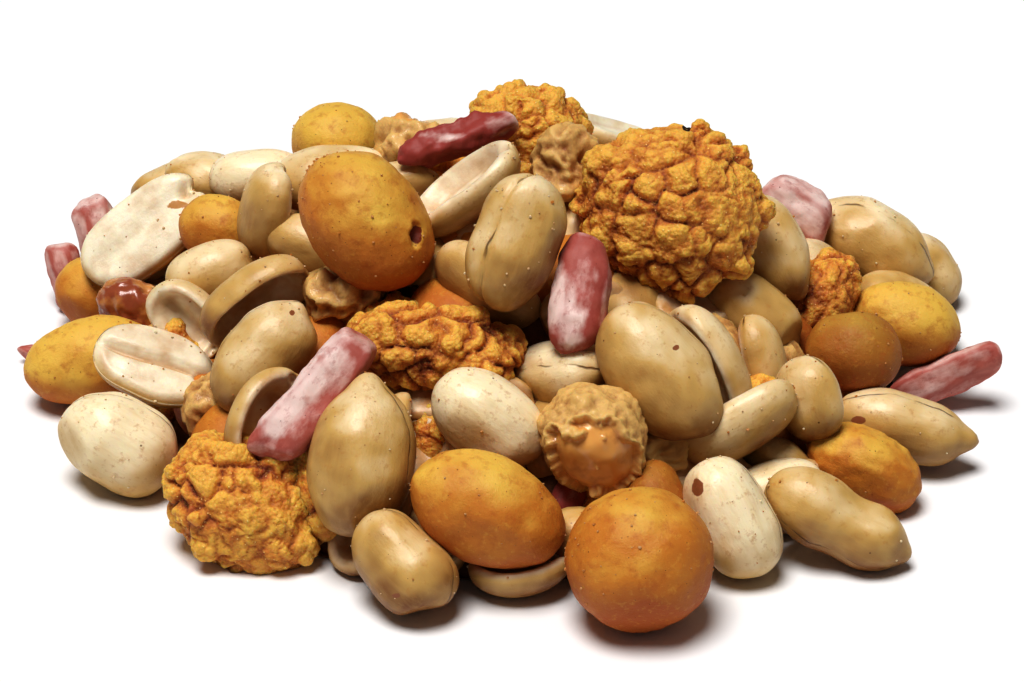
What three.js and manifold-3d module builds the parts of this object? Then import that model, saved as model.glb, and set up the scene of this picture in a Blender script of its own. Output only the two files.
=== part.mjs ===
// A loose heap of party snack mix as it lies on a table: blanched peanuts, split halves, coated
// peanuts, craggy crackers, pink sticks and glazed nuts, fused on a smaller core.
// Millimetres, +Z up. The origin is on the table under the middle of the heap, whose broad
// front faces -Y.
import * as THREE from 'three';
import { mergeVertices } from 'three/addons/utils/BufferGeometryUtils.js';
import Module from 'manifold-3d';

const wasm = await Module();
wasm.setup();

// ---- driving dimensions (mm): the heap's mean surface, which falls from the crest to the table
const HALF_WIDTH = 50;
const FRONT_DEPTH = 47;      // along -Y
const BACK_DEPTH = 50;       // along +Y
const CREST = 30;
const FALL = 1.7;            // 2 falls as a dome, 1 as a cone
const CORE_DEPTH = 3.6;      // the core's depth below the mean surface
const CORE_INSET = 5;        // and how far its foot keeps inside the heap's
const HIDDEN_DEPTH = 2;      // the depth of the far side's pieces, likewise
const FAR_SIDE_FROM = 8;     // Y from which the view of the front no longer shows the heap

// The measured pieces are set out as they show from the front: an eye looking along +Y and down.
const EYE_TILT = THREE.MathUtils.degToRad(30);
const EYE_DISTANCE = 450;
const EYE_TARGET = new THREE.Vector3(0, 4, 3.5);

// Settling: pieces are eased apart until they sink only this far into each other, which joins
// them, and those above the core are drawn inwards until they lie in it.
const CONTACT = 0.4;
const BEDDING = 1;
const TABLE_CONTACT = 0.2;
const SETTLE_ROUNDS = 40;
const PUSH_SHARE = 0.4;      // of an overlap, undone in each round
const SIGHT_SHARE = 0.15;    // of a drift off the line of sight, likewise
const INWARD_STEP = 0.1;
// Few flat sides cut inside a round piece, so each is drawn this much larger to keep its size.
const FACET_GAIN = 1.05;

// Each measured piece: kind; its middle across and up from the target, square to the view, and
// its height above the table (mm); its turn in the view, its lean towards the eye and its roll
// about its length (degrees); its length, width and thickness (mm).
const MEASURED = [
  ['cracker', 2.7, 21.4, 24.5, -14, 0, 0, 14.8, 12, 12],        // cluster back
  ['cracker', 17, 13.7, 23, -15, 0, 0, 20.5, 19, 13],           // cluster big
  ['stick', -6.2, 21.2, 28.5, 19, 0, 0, 14, 4.6, 4.6],          // stick dark
  ['coated', -19, 20.7, 22, 0, 0, 0, 9.8, 8.6, 9],              // ball top
  ['half', -26.4, 17.9, 19, 0, 0, 0, 11, 6.6, 4.5],             // half pale back
  ['kernel', -31.7, 16.5, 16.5, -14, 0, 0, 11, 6.8, 7],         // kernel wrinkled
  ['kernel', -36.6, 15.4, 13, 20, 0, 0, 8.5, 6.5, 7],           // kernel back left
  ['half', -38.9, 11.3, 13, 39, 0, 0, 15.6, 9, 5],              // half face
  ['kernel', -37.4, 10.1, 8, 30, 0, 0, 12, 8, 8],               // kernel under face
  ['stick', -44, 11.4, 9, -80, 0, 0, 9.4, 5.4, 4.6],            // stick left up
  ['stick', -47.3, 6.6, 5, 100, 0, 0, 8.2, 4.4, 4],             // stick left low
  ['coated', -43.6, 5.7, 5.5, -20, 0, 0, 9.4, 8, 8.4],          // ball left back
  ['glazed', -39.9, 3.7, 8, -20, 0, 0, 9, 6, 6],                // glazed red
  ['coated', -31.1, 11.6, 14, -20, 0, 0, 9, 7.5, 7.5],          // ball small back
  ['half', -26.2, 13.7, 19, 75, 30, 70, 11, 8, 4.5],            // half standing
  ['half', -19.1, 17.7, 22.5, 5, 0, 150, 13.5, 7.5, 4.5],       // half long top
  ['kernel', -21.5, 9.9, 17, -25, 0, 0, 10, 6.5, 6],            // kernel small mid
  ['coated', -15.5, 12.6, 24, -50, 0, 0, 15.8, 12, 12],         // egg big
  ['glazed', -11.1, 20.7, 24.5, 10, 0, 0, 7, 4.6, 6],           // glazed back
  ['glazed', 5.7, 17.6, 23.5, 80, 0, 0, 9, 6, 6],               // glazed crag back
  ['kernel', -11.9, 16.8, 22, 10, 0, 0, 8, 5.5, 5],             // kernel tiny
  ['half', -4.6, 15.7, 25.5, 37, 10, 50, 13.5, 9, 4.5],         // half cup
  ['kernel', 0.2, 10.4, 26, 70, 0, 0, 13.6, 8.6, 8.2],          // kernel split
  ['half', -2.9, 5.2, 19.5, -38, 0, -120, 12.5, 8.5, 4.5],      // half under
  ['kernel', 6.2, 11, 19, 75, 0, 0, 9.4, 6.6, 7],               // kernel behind mid
  ['stick', 7.2, 5.2, 24, 78, 0, 0, 13.3, 7, 5],                // stick mid
  ['kernel', 28.1, 9.6, 15.5, -65, 0, 0, 11.5, 7.5, 7.5],       // kernel by cluster
  ['stick', 30.2, 13.9, 14.5, -35, 0, 0, 9.2, 6.4, 5],          // stick right back
  ['cracker', 32.6, 4.4, 10.5, 60, 0, 0, 11, 8, 8.5],           // cluster right
  ['kernel', 38.3, 10.4, 9, -33, 0, 0, 14, 8.6, 8],             // kernel big right
  ['kernel', 43.6, 6.8, 5, -55, 0, 0, 9.2, 6.8, 7],             // kernel far right
  ['coated', 41.4, 1.6, 8, -15, 0, 0, 11.8, 8.8, 9],            // ball yellow right
  ['coated', 36.4, -1.2, 10, -10, 0, 0, 10, 8.6, 8.6],          // ball brown right
  ['stick', 46.2, -3.2, 4.5, 25, 15, 0, 13.5, 4.8, 4.2],        // stick right
  ['kernel', 41.2, -9, 4.8, -15, 0, 0, 13.6, 7.2, 7.2],         // kernel right
  ['coated', 37.2, -13.5, 4.4, -25, 0, 0, 12.4, 8.3, 8],        // ball crag right
  ['kernel', 34.4, -19, 4.5, -30, 0, 0, 15.3, 7.8, 7.4],        // kernel front right
  ['half', 28.1, -16.1, 3.5, 15, 0, 0, 10, 6.5, 4],             // half pale behind
  ['kernel', 22.9, -18.8, 5.2, -62, 0, 0, 12.6, 8.3, 8],        // kernel front mid
  ['coated', 13.6, -23.2, 6.8, 0, 0, 0, 14.4, 14, 14],          // ball front
  ['half', 0.9, -24.3, 2.3, 8, 0, 120, 10.2, 6.6, 4],           // half front
  ['coated', -2.6, -18.1, 8, -25, 0, 0, 15.6, 10.8, 10.5],      // egg front
  ['kernel', -11.7, -24.4, 4.2, -48, 15, 0, 11.6, 8, 7.8],      // kernel front left
  ['cracker', -28.2, -16.9, 7, -35, 0, 0, 18, 14, 11.5],        // cluster front left
  ['kernel', -42, -10.9, 5, -30, 0, 0, 12.6, 9.9, 9],           // kernel left
  ['coated', -44.7, -2.1, 5, 12, 0, 0, 14.5, 9.2, 9],           // ball left
  ['stick', -46.2, -0.9, 2.8, 8, 0, 0, 13, 3.2, 3.2],           // stick left tip
  ['half', -37.9, -2.6, 10, -20, 0, -35, 12.8, 8.6, 4.5],       // half left
  ['kernel', -26.6, -2, 14, 50, 0, 0, 12.6, 8.5, 8],            // kernel mid left
  ['half', -26, -8.8, 9.5, 60, 0, 35, 12, 9, 4.5],              // half cup left
  ['stick', -21.1, -6.2, 15.5, 50, 0, 0, 17.4, 6.2, 4.6],       // stick front
  ['kernel', -16.8, -13.3, 10, 80, 0, 0, 14.8, 10.4, 9.5],      // kernel big front
  ['half', -12, -11.8, 8.5, 80, 0, 90, 12.5, 8, 3.6],           // half split
  ['half', -32.1, 7, 15.5, 20, 0, 180, 9.5, 7, 4.5],            // half pale up
  ['half', -27.7, 4.8, 17, 35, 0, -110, 12.5, 9, 4.5],          // half dark
  ['half', -34.5, 2.2, 12, -45, 0, 180, 9.5, 7, 4.5],           // half low
  ['glazed', -17.8, 4.7, 17, -10, 0, 0, 8.5, 5, 5],             // glazed mid
  ['cracker', -8.7, -1.3, 16, -8, 0, 0, 19, 9.3, 9],            // cluster mid
  ['kernel', -2.3, -8.2, 13.5, -35, 0, 0, 12.4, 8.4, 8],        // kernel centre
  ['kernel', 5.1, -3.5, 14, 5, 40, 0, 10.5, 7.2, 7],            // kernel small centre
  ['kernel', 15.7, -3.4, 16, -50, 0, 0, 15.5, 9.9, 9],          // kernel large centre
  ['half', 21.4, -2.2, 14, -62, 0, 60, 13, 8.5, 4.5],           // half crescent
  ['kernel', 25.5, 2.8, 14, -40, 0, 0, 11, 7.5, 7.5],           // kernel shade
  ['half', 26.7, -2.2, 11.5, -75, 0, 0, 9.5, 5.5, 4],           // half thin
  ['half', 31.3, -6.5, 10.5, -75, 0, 50, 8.8, 7.6, 4.5],        // half small right
  ['half', 24.3, -8.9, 10.5, 30, 0, -110, 13, 8.5, 4.5],        // half long right
  ['cracker', 25.9, -5.4, 10, 20, 0, 0, 5, 3.6, 3.5],           // cluster crumb
  ['glazed', 8.7, -10.6, 12, -50, 0, 0, 11.6, 10.4, 10],        // glazed main
  ['glazed', 15.4, -11.3, 9, -10, 0, 0, 6, 4.6, 4.5],           // glazed small
  ['coated', 14.9, -19, 5, 90, 0, 0, 11.6, 7.4, 7.4],           // ball small front
  ['kernel', 28.3, -13, 6, -25, 0, 0, 7.5, 5, 5],               // kernel small brown
  ['cracker', -8.7, -10.2, 9, -70, 0, 0, 10.5, 8, 8],           // cluster orange mid
  ['glazed', -31.9, -6.8, 7.5, 75, 0, 0, 7, 4.5, 4.5],          // glazed left small
  ['kernel', 2.7, -12.9, 7, -45, 0, 0, 7, 5, 5],                // kernel tiny low
];

// The far side repeats this mixture, with sizes drawn between a least and a most (mm).
const MIXTURE = ['cracker', 'coated', 'kernel', 'half', 'kernel', 'coated', 'stick', 'kernel',
  'glazed', 'half', 'kernel', 'coated', 'kernel', 'half', 'kernel', 'kernel', 'stick', 'half',
  'coated', 'cracker'];
const SIZES = {
  kernel: [[11, 15], [7.5, 9.5], [7, 8.8]],
  half: [[11.5, 15], [7.5, 9], [4, 4.6]],
  coated: [[10, 15], [9, 12], [9, 11.5]],
  cracker: [[12, 18], [10, 14], [9, 11]],
  stick: [[10, 17], [4.6, 6.4], [4, 4.8]],
  glazed: [[8, 11], [7, 9], [6.5, 8.5]],
};

// Full-sized pieces go down first, then smaller ones into the gaps. Room is the overlap allowed
// before settling (mm).
const FAR_SIDE_LAYERS = [
  { drops: 700, share: 1, room: 2.2, seed: 11 },
  { drops: 700, share: 0.75, room: 1.6, seed: 5 },
];

// ---- the view's directions
const RIGHT = new THREE.Vector3(1, 0, 0);
const UP = new THREE.Vector3(0, Math.sin(EYE_TILT), Math.cos(EYE_TILT));
const TO_EYE = new THREE.Vector3(0, -Math.cos(EYE_TILT), Math.sin(EYE_TILT));
const EYE = EYE_TARGET.clone().addScaledVector(TO_EYE, EYE_DISTANCE);

// A repeatable draw: every call of the returned function gives the next number between two.
function seededDraw(seed) {
  let state = seed;
  return (least = 0, most = 1) => {
    state = (state * 1664525 + 1013904223) % 4294967296;
    return least + (most - least) * state / 4294967296;
  };
}

// ---- the heap's mean surface
function halfDepth(y) {
  return y < 0 ? FRONT_DEPTH : BACK_DEPTH;
}

function surfaceHeight(x, y, depth) {
  const reach = Math.hypot(x / (HALF_WIDTH - depth), y / (halfDepth(y) - depth));
  return reach < 1 ? (CREST - depth) * (1 - reach ** FALL) : -1;
}

function surfaceNormal(x, y, depth) {
  const step = 0.5;
  const alongX = surfaceHeight(x + step, y, depth) - surfaceHeight(x - step, y, depth);
  const alongY = surfaceHeight(x, y + step, depth) - surfaceHeight(x, y - step, depth);
  return new THREE.Vector3(-alongX / (2 * step), -alongY / (2 * step), 1).normalize();
}

// ---- a piece as the settling sees it: an ellipsoid with its axes turned as the piece lies
function turnedAxes(turn, lean, roll, right, up, out) {
  const [t, l, r] = [turn, lean, roll].map(THREE.MathUtils.degToRad);
  const long = right.clone().multiplyScalar(Math.cos(t)).addScaledVector(up, Math.sin(t));
  long.multiplyScalar(Math.cos(l)).addScaledVector(out, Math.sin(l));
  const thick = out.clone().addScaledVector(long, -long.dot(out)).normalize();
  const wide = thick.clone().cross(long);
  return [
    long,
    wide.clone().multiplyScalar(Math.cos(r)).addScaledVector(thick, Math.sin(r)),
    thick.clone().multiplyScalar(Math.cos(r)).addScaledVector(wide, -Math.sin(r)),
  ];
}

function makePiece(kind, size, axes, at, inward, sight = null) {
  const semi = size.map((length) => length / 2);
  const turned = new THREE.Matrix3().set(
    axes[0].x, axes[1].x, axes[2].x,
    axes[0].y, axes[1].y, axes[2].y,
    axes[0].z, axes[1].z, axes[2].z,
  );
  const squares = new THREE.Matrix3().set(semi[0] ** 2, 0, 0, 0, semi[1] ** 2, 0, 0, 0, semi[2] ** 2);
  const form = turned.clone().multiply(squares).multiply(turned.clone().transpose());
  const below = Math.sqrt(form.elements[8]);      // from its middle down to its lowest point
  return { kind, semi, axes, form, below, at, inward, sight };
}

function measuredPieces() {
  return MEASURED.map(([kind, across, up, height, turn, lean, roll, ...size]) => {
    const axes = turnedAxes(turn, lean, roll, RIGHT, UP, TO_EYE);
    const sight = TO_EYE.clone().multiplyScalar(-EYE_DISTANCE);
    sight.addScaledVector(RIGHT, across).addScaledVector(UP, up).normalize();
    const piece = makePiece(kind, size, axes, EYE.clone(), sight, sight);
    const centre = Math.max(height, piece.below);
    piece.at.addScaledVector(sight, (centre - EYE.z) / sight.z);
    return piece;
  });
}

// How deep two pieces overlap, with the direction that parts them: the least over directions n of
// reach(a, n) + reach(b, n) - distance along n, found by a few steps down its slope.
function overlap(a, b, steps = 8) {
  const gap = b.at.clone().sub(a.at);
  const distance = gap.length();
  let normal = gap.clone().divideScalar(distance);
  if (distance > Math.max(...a.semi) + Math.max(...b.semi)) {
    return { depth: -1, normal };
  }
  let best = { depth: Infinity, normal };
  for (let step = 0; step < steps; step++) {
    const alongA = normal.clone().applyMatrix3(a.form);
    const alongB = normal.clone().applyMatrix3(b.form);
    const reachA = Math.sqrt(normal.dot(alongA));
    const reachB = Math.sqrt(normal.dot(alongB));
    const depth = reachA + reachB - normal.dot(gap);
    if (depth < best.depth) {
      best = { depth, normal };
    }
    if (depth < 0) {
      break;
    }
    const slope = alongA.divideScalar(reachA).add(alongB.divideScalar(reachB)).sub(gap);
    slope.addScaledVector(normal, -slope.dot(normal));
    normal = normal.clone().addScaledVector(slope, -0.6 / (reachA + reachB + distance)).normalize();
  }
  return best;
}

// Measured pieces are drawn back to their line of sight, and none sinks into the table.
function settle(pieces) {
  for (let round = 0; round < SETTLE_ROUNDS; round++) {
    const moves = pieces.map(() => new THREE.Vector3());
    for (let i = 0; i < pieces.length; i++) {
      for (let j = i + 1; j < pieces.length; j++) {
        const { depth, normal } = overlap(pieces[i], pieces[j]);
        if (depth > CONTACT) {
          const push = (depth - CONTACT) * PUSH_SHARE;
          moves[i].addScaledVector(normal, -push);
          moves[j].addScaledVector(normal, push);
        }
      }
    }
    pieces.forEach((piece, i) => {
      piece.at.add(moves[i]);
      const bed = surfaceHeight(piece.at.x, piece.at.y, CORE_DEPTH) - BEDDING;
      if (piece.at.z - piece.below > Math.max(bed, 0)) {
        piece.at.addScaledVector(piece.inward, INWARD_STEP);
      }
      if (piece.sight) {
        const fromEye = piece.at.clone().sub(EYE);
        const onSight = EYE.clone().addScaledVector(piece.sight, fromEye.dot(piece.sight));
        piece.at.lerp(onSight, SIGHT_SHARE);
      }
      piece.at.z = Math.max(piece.at.z, piece.below - TABLE_CONTACT);
    });
  }
}

// The far side: pieces dropped in a spiral over the mean surface, wherever there is room. Share
// scales their sizes.
function addFarSide(pieces, { drops, share, room, seed }) {
  const draw = seededDraw(seed);
  const turnPerDrop = 2.399963;
  const furthest = 0.94;
  let placed = 0;
  for (let drop = 0; drop < drops; drop++) {
    const kind = MIXTURE[placed % MIXTURE.length];
    const size = SIZES[kind].map(([least, most]) => share * draw(least, most));
    const turn = draw(0, 360);
    const lean = draw(-12, 12);
    const roll = draw(-30, 30);
    const reach = furthest * Math.sqrt((drop + 0.5) / drops);
    const x = (HALF_WIDTH - HIDDEN_DEPTH) * reach * Math.cos(drop * turnPerDrop);
    const y = (BACK_DEPTH - HIDDEN_DEPTH) * reach * Math.sin(drop * turnPerDrop);
    if (y < FAR_SIDE_FROM) {
      continue;
    }
    const out = surfaceNormal(x, y, HIDDEN_DEPTH);
    const right = new THREE.Vector3(0, 1, 0).cross(out).normalize();
    const axes = turnedAxes(turn, lean, roll, right, out.clone().cross(right), out);
    const at = new THREE.Vector3(x, y, surfaceHeight(x, y, HIDDEN_DEPTH));
    at.addScaledVector(out, -0.4 * size[2]);
    const piece = makePiece(kind, size, axes, at, out.clone().negate());
    piece.at.z = Math.max(piece.at.z, piece.below);
    if (pieces.every((other) => overlap(piece, other, 4).depth < room)) {
      pieces.push(piece);
      placed++;
    }
  }
}

// ---- shapes: each is 2 long, wide and thick, with its length along X
function roundShape(sides, rings) {
  return new THREE.SphereGeometry(1, sides, rings).rotateZ(-Math.PI / 2);
}

function reshape(geometry, change) {
  const positions = geometry.attributes.position;
  const point = new THREE.Vector3();
  for (let i = 0; i < positions.count; i++) {
    point.fromBufferAttribute(positions, i);
    change(point);
    positions.setXYZ(i, point.x, point.y, point.z);
  }
  return geometry;
}

// A whole kernel is a little egg-shaped, with a blunt tip where the two halves meet.
function kernelShape(fine) {
  return reshape(fine ? roundShape(8, 6) : roundShape(7, 5), (p) => {
    const girth = 1.03 + 0.09 * p.x - 0.07 * p.x * p.x;
    p.y *= girth;
    p.z *= girth;
  });
}

// A half has its flat face upwards, dished, with a furrow along it, over a full round back.
function halfShape() {
  return reshape(roundShape(8, 5), (p) => {
    const dish = 0.5 * (1 - p.x * p.x - p.y * p.y);
    const furrow = Math.abs(p.y) < 0.1 ? 0.55 * (1 - p.x ** 4) : 0;
    p.z = p.z > 0.05 ? 1 - dish - furrow : 0.6 + 1.75 * p.z;
  });
}

function coatedShape(fine) {
  return reshape(fine ? roundShape(9, 6) : roundShape(8, 5), (p) => {
    p.multiplyScalar(1 + 0.02 * Math.sin(4 * p.x + 1) * Math.cos(3 * p.y + 2 * p.z));
  });
}

// Craggy pieces swell round lumps set in a spiral over them, with crevices between.
function craggyShape(detail, lumps, depth) {
  const directions = [];
  for (let i = 0; i < lumps; i++) {
    const z = 1 - 2 * (i + 0.5) / lumps;
    const ring = Math.sqrt(1 - z * z);
    directions.push(new THREE.Vector3(ring * Math.cos(2.4 * i), ring * Math.sin(2.4 * i), z));
  }
  const lumpAngle = 2.2 / Math.sqrt(lumps);
  return reshape(new THREE.IcosahedronGeometry(1, detail), (p) => {
    const nearest = Math.min(...directions.map((direction) => direction.angleTo(p)));
    const swell = Math.sqrt(Math.max(0, 1 - (nearest / lumpAngle) ** 2));
    p.multiplyScalar(1 - depth + depth * 1.3 * swell);
  });
}

// A stick is a rough six-sided rod with broken, narrower ends.
function stickShape() {
  const rod = new THREE.CylinderGeometry(1, 1, 2, 5, 3).rotateZ(-Math.PI / 2);
  return reshape(rod, (p) => {
    const girth = 1.04 - 0.35 * p.x ** 4 + 0.06 * Math.sin(5 * p.x);
    p.x += 0.08 * p.y * Math.abs(p.x);
    p.y *= girth;
    p.z *= girth;
  });
}

const SHAPES = {
  kernel: ([half]) => kernelShape(half > 4.4),
  half: halfShape,
  coated: ([half]) => coatedShape(half > 4.4),
  cracker: ([half]) => craggyShape(half > 9 ? 3 : half > 5 ? 2 : 1, half > 9 ? 26 : 14, 0.2),
  stick: stickShape,
  glazed: ([half]) => craggyShape(half > 5 ? 2 : 1, 9, 0.12),
};

// ---- solids
function toSolid(geometry) {
  geometry.deleteAttribute('normal');
  geometry.deleteAttribute('uv');
  const merged = mergeVertices(geometry, 1e-4);
  const mesh = new wasm.Mesh({
    numProp: 3,
    vertProperties: new Float32Array(merged.attributes.position.array),
    triVerts: new Uint32Array(merged.index.array),
  });
  return new wasm.Manifold(mesh);
}

function pieceSolid(piece) {
  const semi = piece.semi.map((length) => length * FACET_GAIN);
  const place = new THREE.Matrix4().makeBasis(...piece.axes).scale(new THREE.Vector3(...semi));
  place.setPosition(piece.at);
  return toSolid(SHAPES[piece.kind](piece.semi).applyMatrix4(place));
}

// The core follows the mean surface down to the table and a little past it, where it is cut flat.
function coreSolid() {
  const rings = 6;
  const pastTable = 2;
  const profile = [];
  for (let ring = 0; ring <= rings; ring++) {
    const reach = ring / rings;
    profile.push(new THREE.Vector2(reach, (CREST - CORE_DEPTH) * (1 - reach ** FALL)));
  }
  profile.push(new THREE.Vector2(1, -pastTable), new THREE.Vector2(0, -pastTable));
  profile.reverse();
  const dome = new THREE.LatheGeometry(profile, 22).rotateX(Math.PI / 2);
  dome.scale(HALF_WIDTH - CORE_INSET, 1, 1);
  return toSolid(reshape(dome, (p) => {
    p.y *= halfDepth(p.y) - CORE_INSET;
  }));
}

// Everything above the table, as a block to cut with.
function aboveTable() {
  const side = 4 * HALF_WIDTH;
  return toSolid(new THREE.BoxGeometry(side, side, side).translate(0, 0, side / 2));
}

function heapGeometry() {
  const pieces = measuredPieces();
  FAR_SIDE_LAYERS.forEach((layer) => addFarSide(pieces, layer));
  settle(pieces);
  let heap = coreSolid();
  for (const piece of pieces) {
    heap = heap.add(pieceSolid(piece));
  }
  // The largest part is the heap itself; loose scraps and sealed hollows are dropped.
  const parts = heap.intersect(aboveTable()).decompose();
  const largest = parts.reduce((a, b) => (b.volume() > a.volume() ? b : a));
  const mesh = largest.getMesh();
  const geometry = new THREE.BufferGeometry();
  geometry.setAttribute('position', new THREE.BufferAttribute(mesh.vertProperties, mesh.numProp));
  geometry.setIndex(new THREE.BufferAttribute(mesh.triVerts, 1));
  geometry.computeVertexNormals();
  return geometry;
}

const toasted = new THREE.MeshStandardMaterial({ color: 0xc99a5b, roughness: 0.6, metalness: 0 });
const heap = new THREE.Mesh(heapGeometry(), toasted);
heap.name = 'snack_heap';

const snackMix = new THREE.Group();
snackMix.add(heap);

export default snackMix;
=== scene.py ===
"""A loose heap of party snack mix on a pale table, dressed over its one fused solid.

Blanched peanuts, split halves, coated peanuts, clusters of fried crumb, pink sticks and glazed
nuts lie where the solid has them, but for the few that are turned or nudged further below.
Lengths are in millimetres until a mesh is written, in metres.
"""

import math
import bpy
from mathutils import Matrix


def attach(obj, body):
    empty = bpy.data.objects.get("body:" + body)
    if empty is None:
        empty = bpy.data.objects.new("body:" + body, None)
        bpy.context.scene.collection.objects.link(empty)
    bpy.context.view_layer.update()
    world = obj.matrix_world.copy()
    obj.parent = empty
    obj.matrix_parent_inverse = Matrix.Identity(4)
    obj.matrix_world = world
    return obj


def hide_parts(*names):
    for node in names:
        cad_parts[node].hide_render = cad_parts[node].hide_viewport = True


bl_info = {
    "name": "Snack Mix Heap",
    "version": (1, 0, 0),
    "blender": (4, 5, 0),
    "location": "View3D > Sidebar > Snack Mix",
    "description": "Builds a heap of peanuts, crackers and pink sticks with its table and lights",
    "category": "Add Mesh",
}

from functools import partial

import bmesh
import bpy
import numpy as np
from bpy.props import FloatProperty, FloatVectorProperty, IntProperty, PointerProperty
from mathutils import Matrix, Vector, noise

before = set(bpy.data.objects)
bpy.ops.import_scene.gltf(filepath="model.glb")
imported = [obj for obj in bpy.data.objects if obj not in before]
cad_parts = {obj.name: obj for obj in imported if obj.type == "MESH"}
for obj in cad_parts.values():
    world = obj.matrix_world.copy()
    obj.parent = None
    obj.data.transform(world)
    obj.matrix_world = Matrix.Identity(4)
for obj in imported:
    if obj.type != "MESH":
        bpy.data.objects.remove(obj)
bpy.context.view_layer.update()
NODE = "snack_heap"
MM = 0.001

# ---- the heap's mean surface, as in the solid (mm)
HALF_WIDTH = 50.0
FRONT_DEPTH = 47.0
BACK_DEPTH = 50.0
CREST = 30.0
FALL = 1.7
CORE_DEPTH = 3.6
CORE_BELOW_PIECES = 6.0
HIDDEN_DEPTH = 2.0
FAR_SIDE_FROM = 8.0

# ---- the eye that the measured pieces are set out for: it looks along +Y and down
EYE_TILT = math.radians(30)
EYE_DISTANCE = 450.0
EYE_TARGET = np.array([0.0, 4.0, 3.5])
RIGHT = np.array([1.0, 0.0, 0.0])
UP = np.array([0.0, math.sin(EYE_TILT), math.cos(EYE_TILT)])
TO_EYE = np.array([0.0, -math.cos(EYE_TILT), math.sin(EYE_TILT)])
EYE = EYE_TARGET + TO_EYE * EYE_DISTANCE

# The photograph is 1024 by 682 pixels, with 9.4 of them to a millimetre at the target.
PIXELS_WIDE = 1024
PIXELS_PER_MM = 9.4
SENSOR_WIDTH = 36.0
LENS = SENSOR_WIDTH * PIXELS_PER_MM * EYE_DISTANCE / PIXELS_WIDE

# ---- settling, as in the solid
CONTACT = 0.4
BEDDING = 1.0
TABLE_CONTACT = 0.2
SETTLE_ROUNDS = 40
PUSH_SHARE = 0.4
SIGHT_SHARE = 0.15
INWARD_STEP = 0.1
SLOPE_STEP = 0.6

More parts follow.
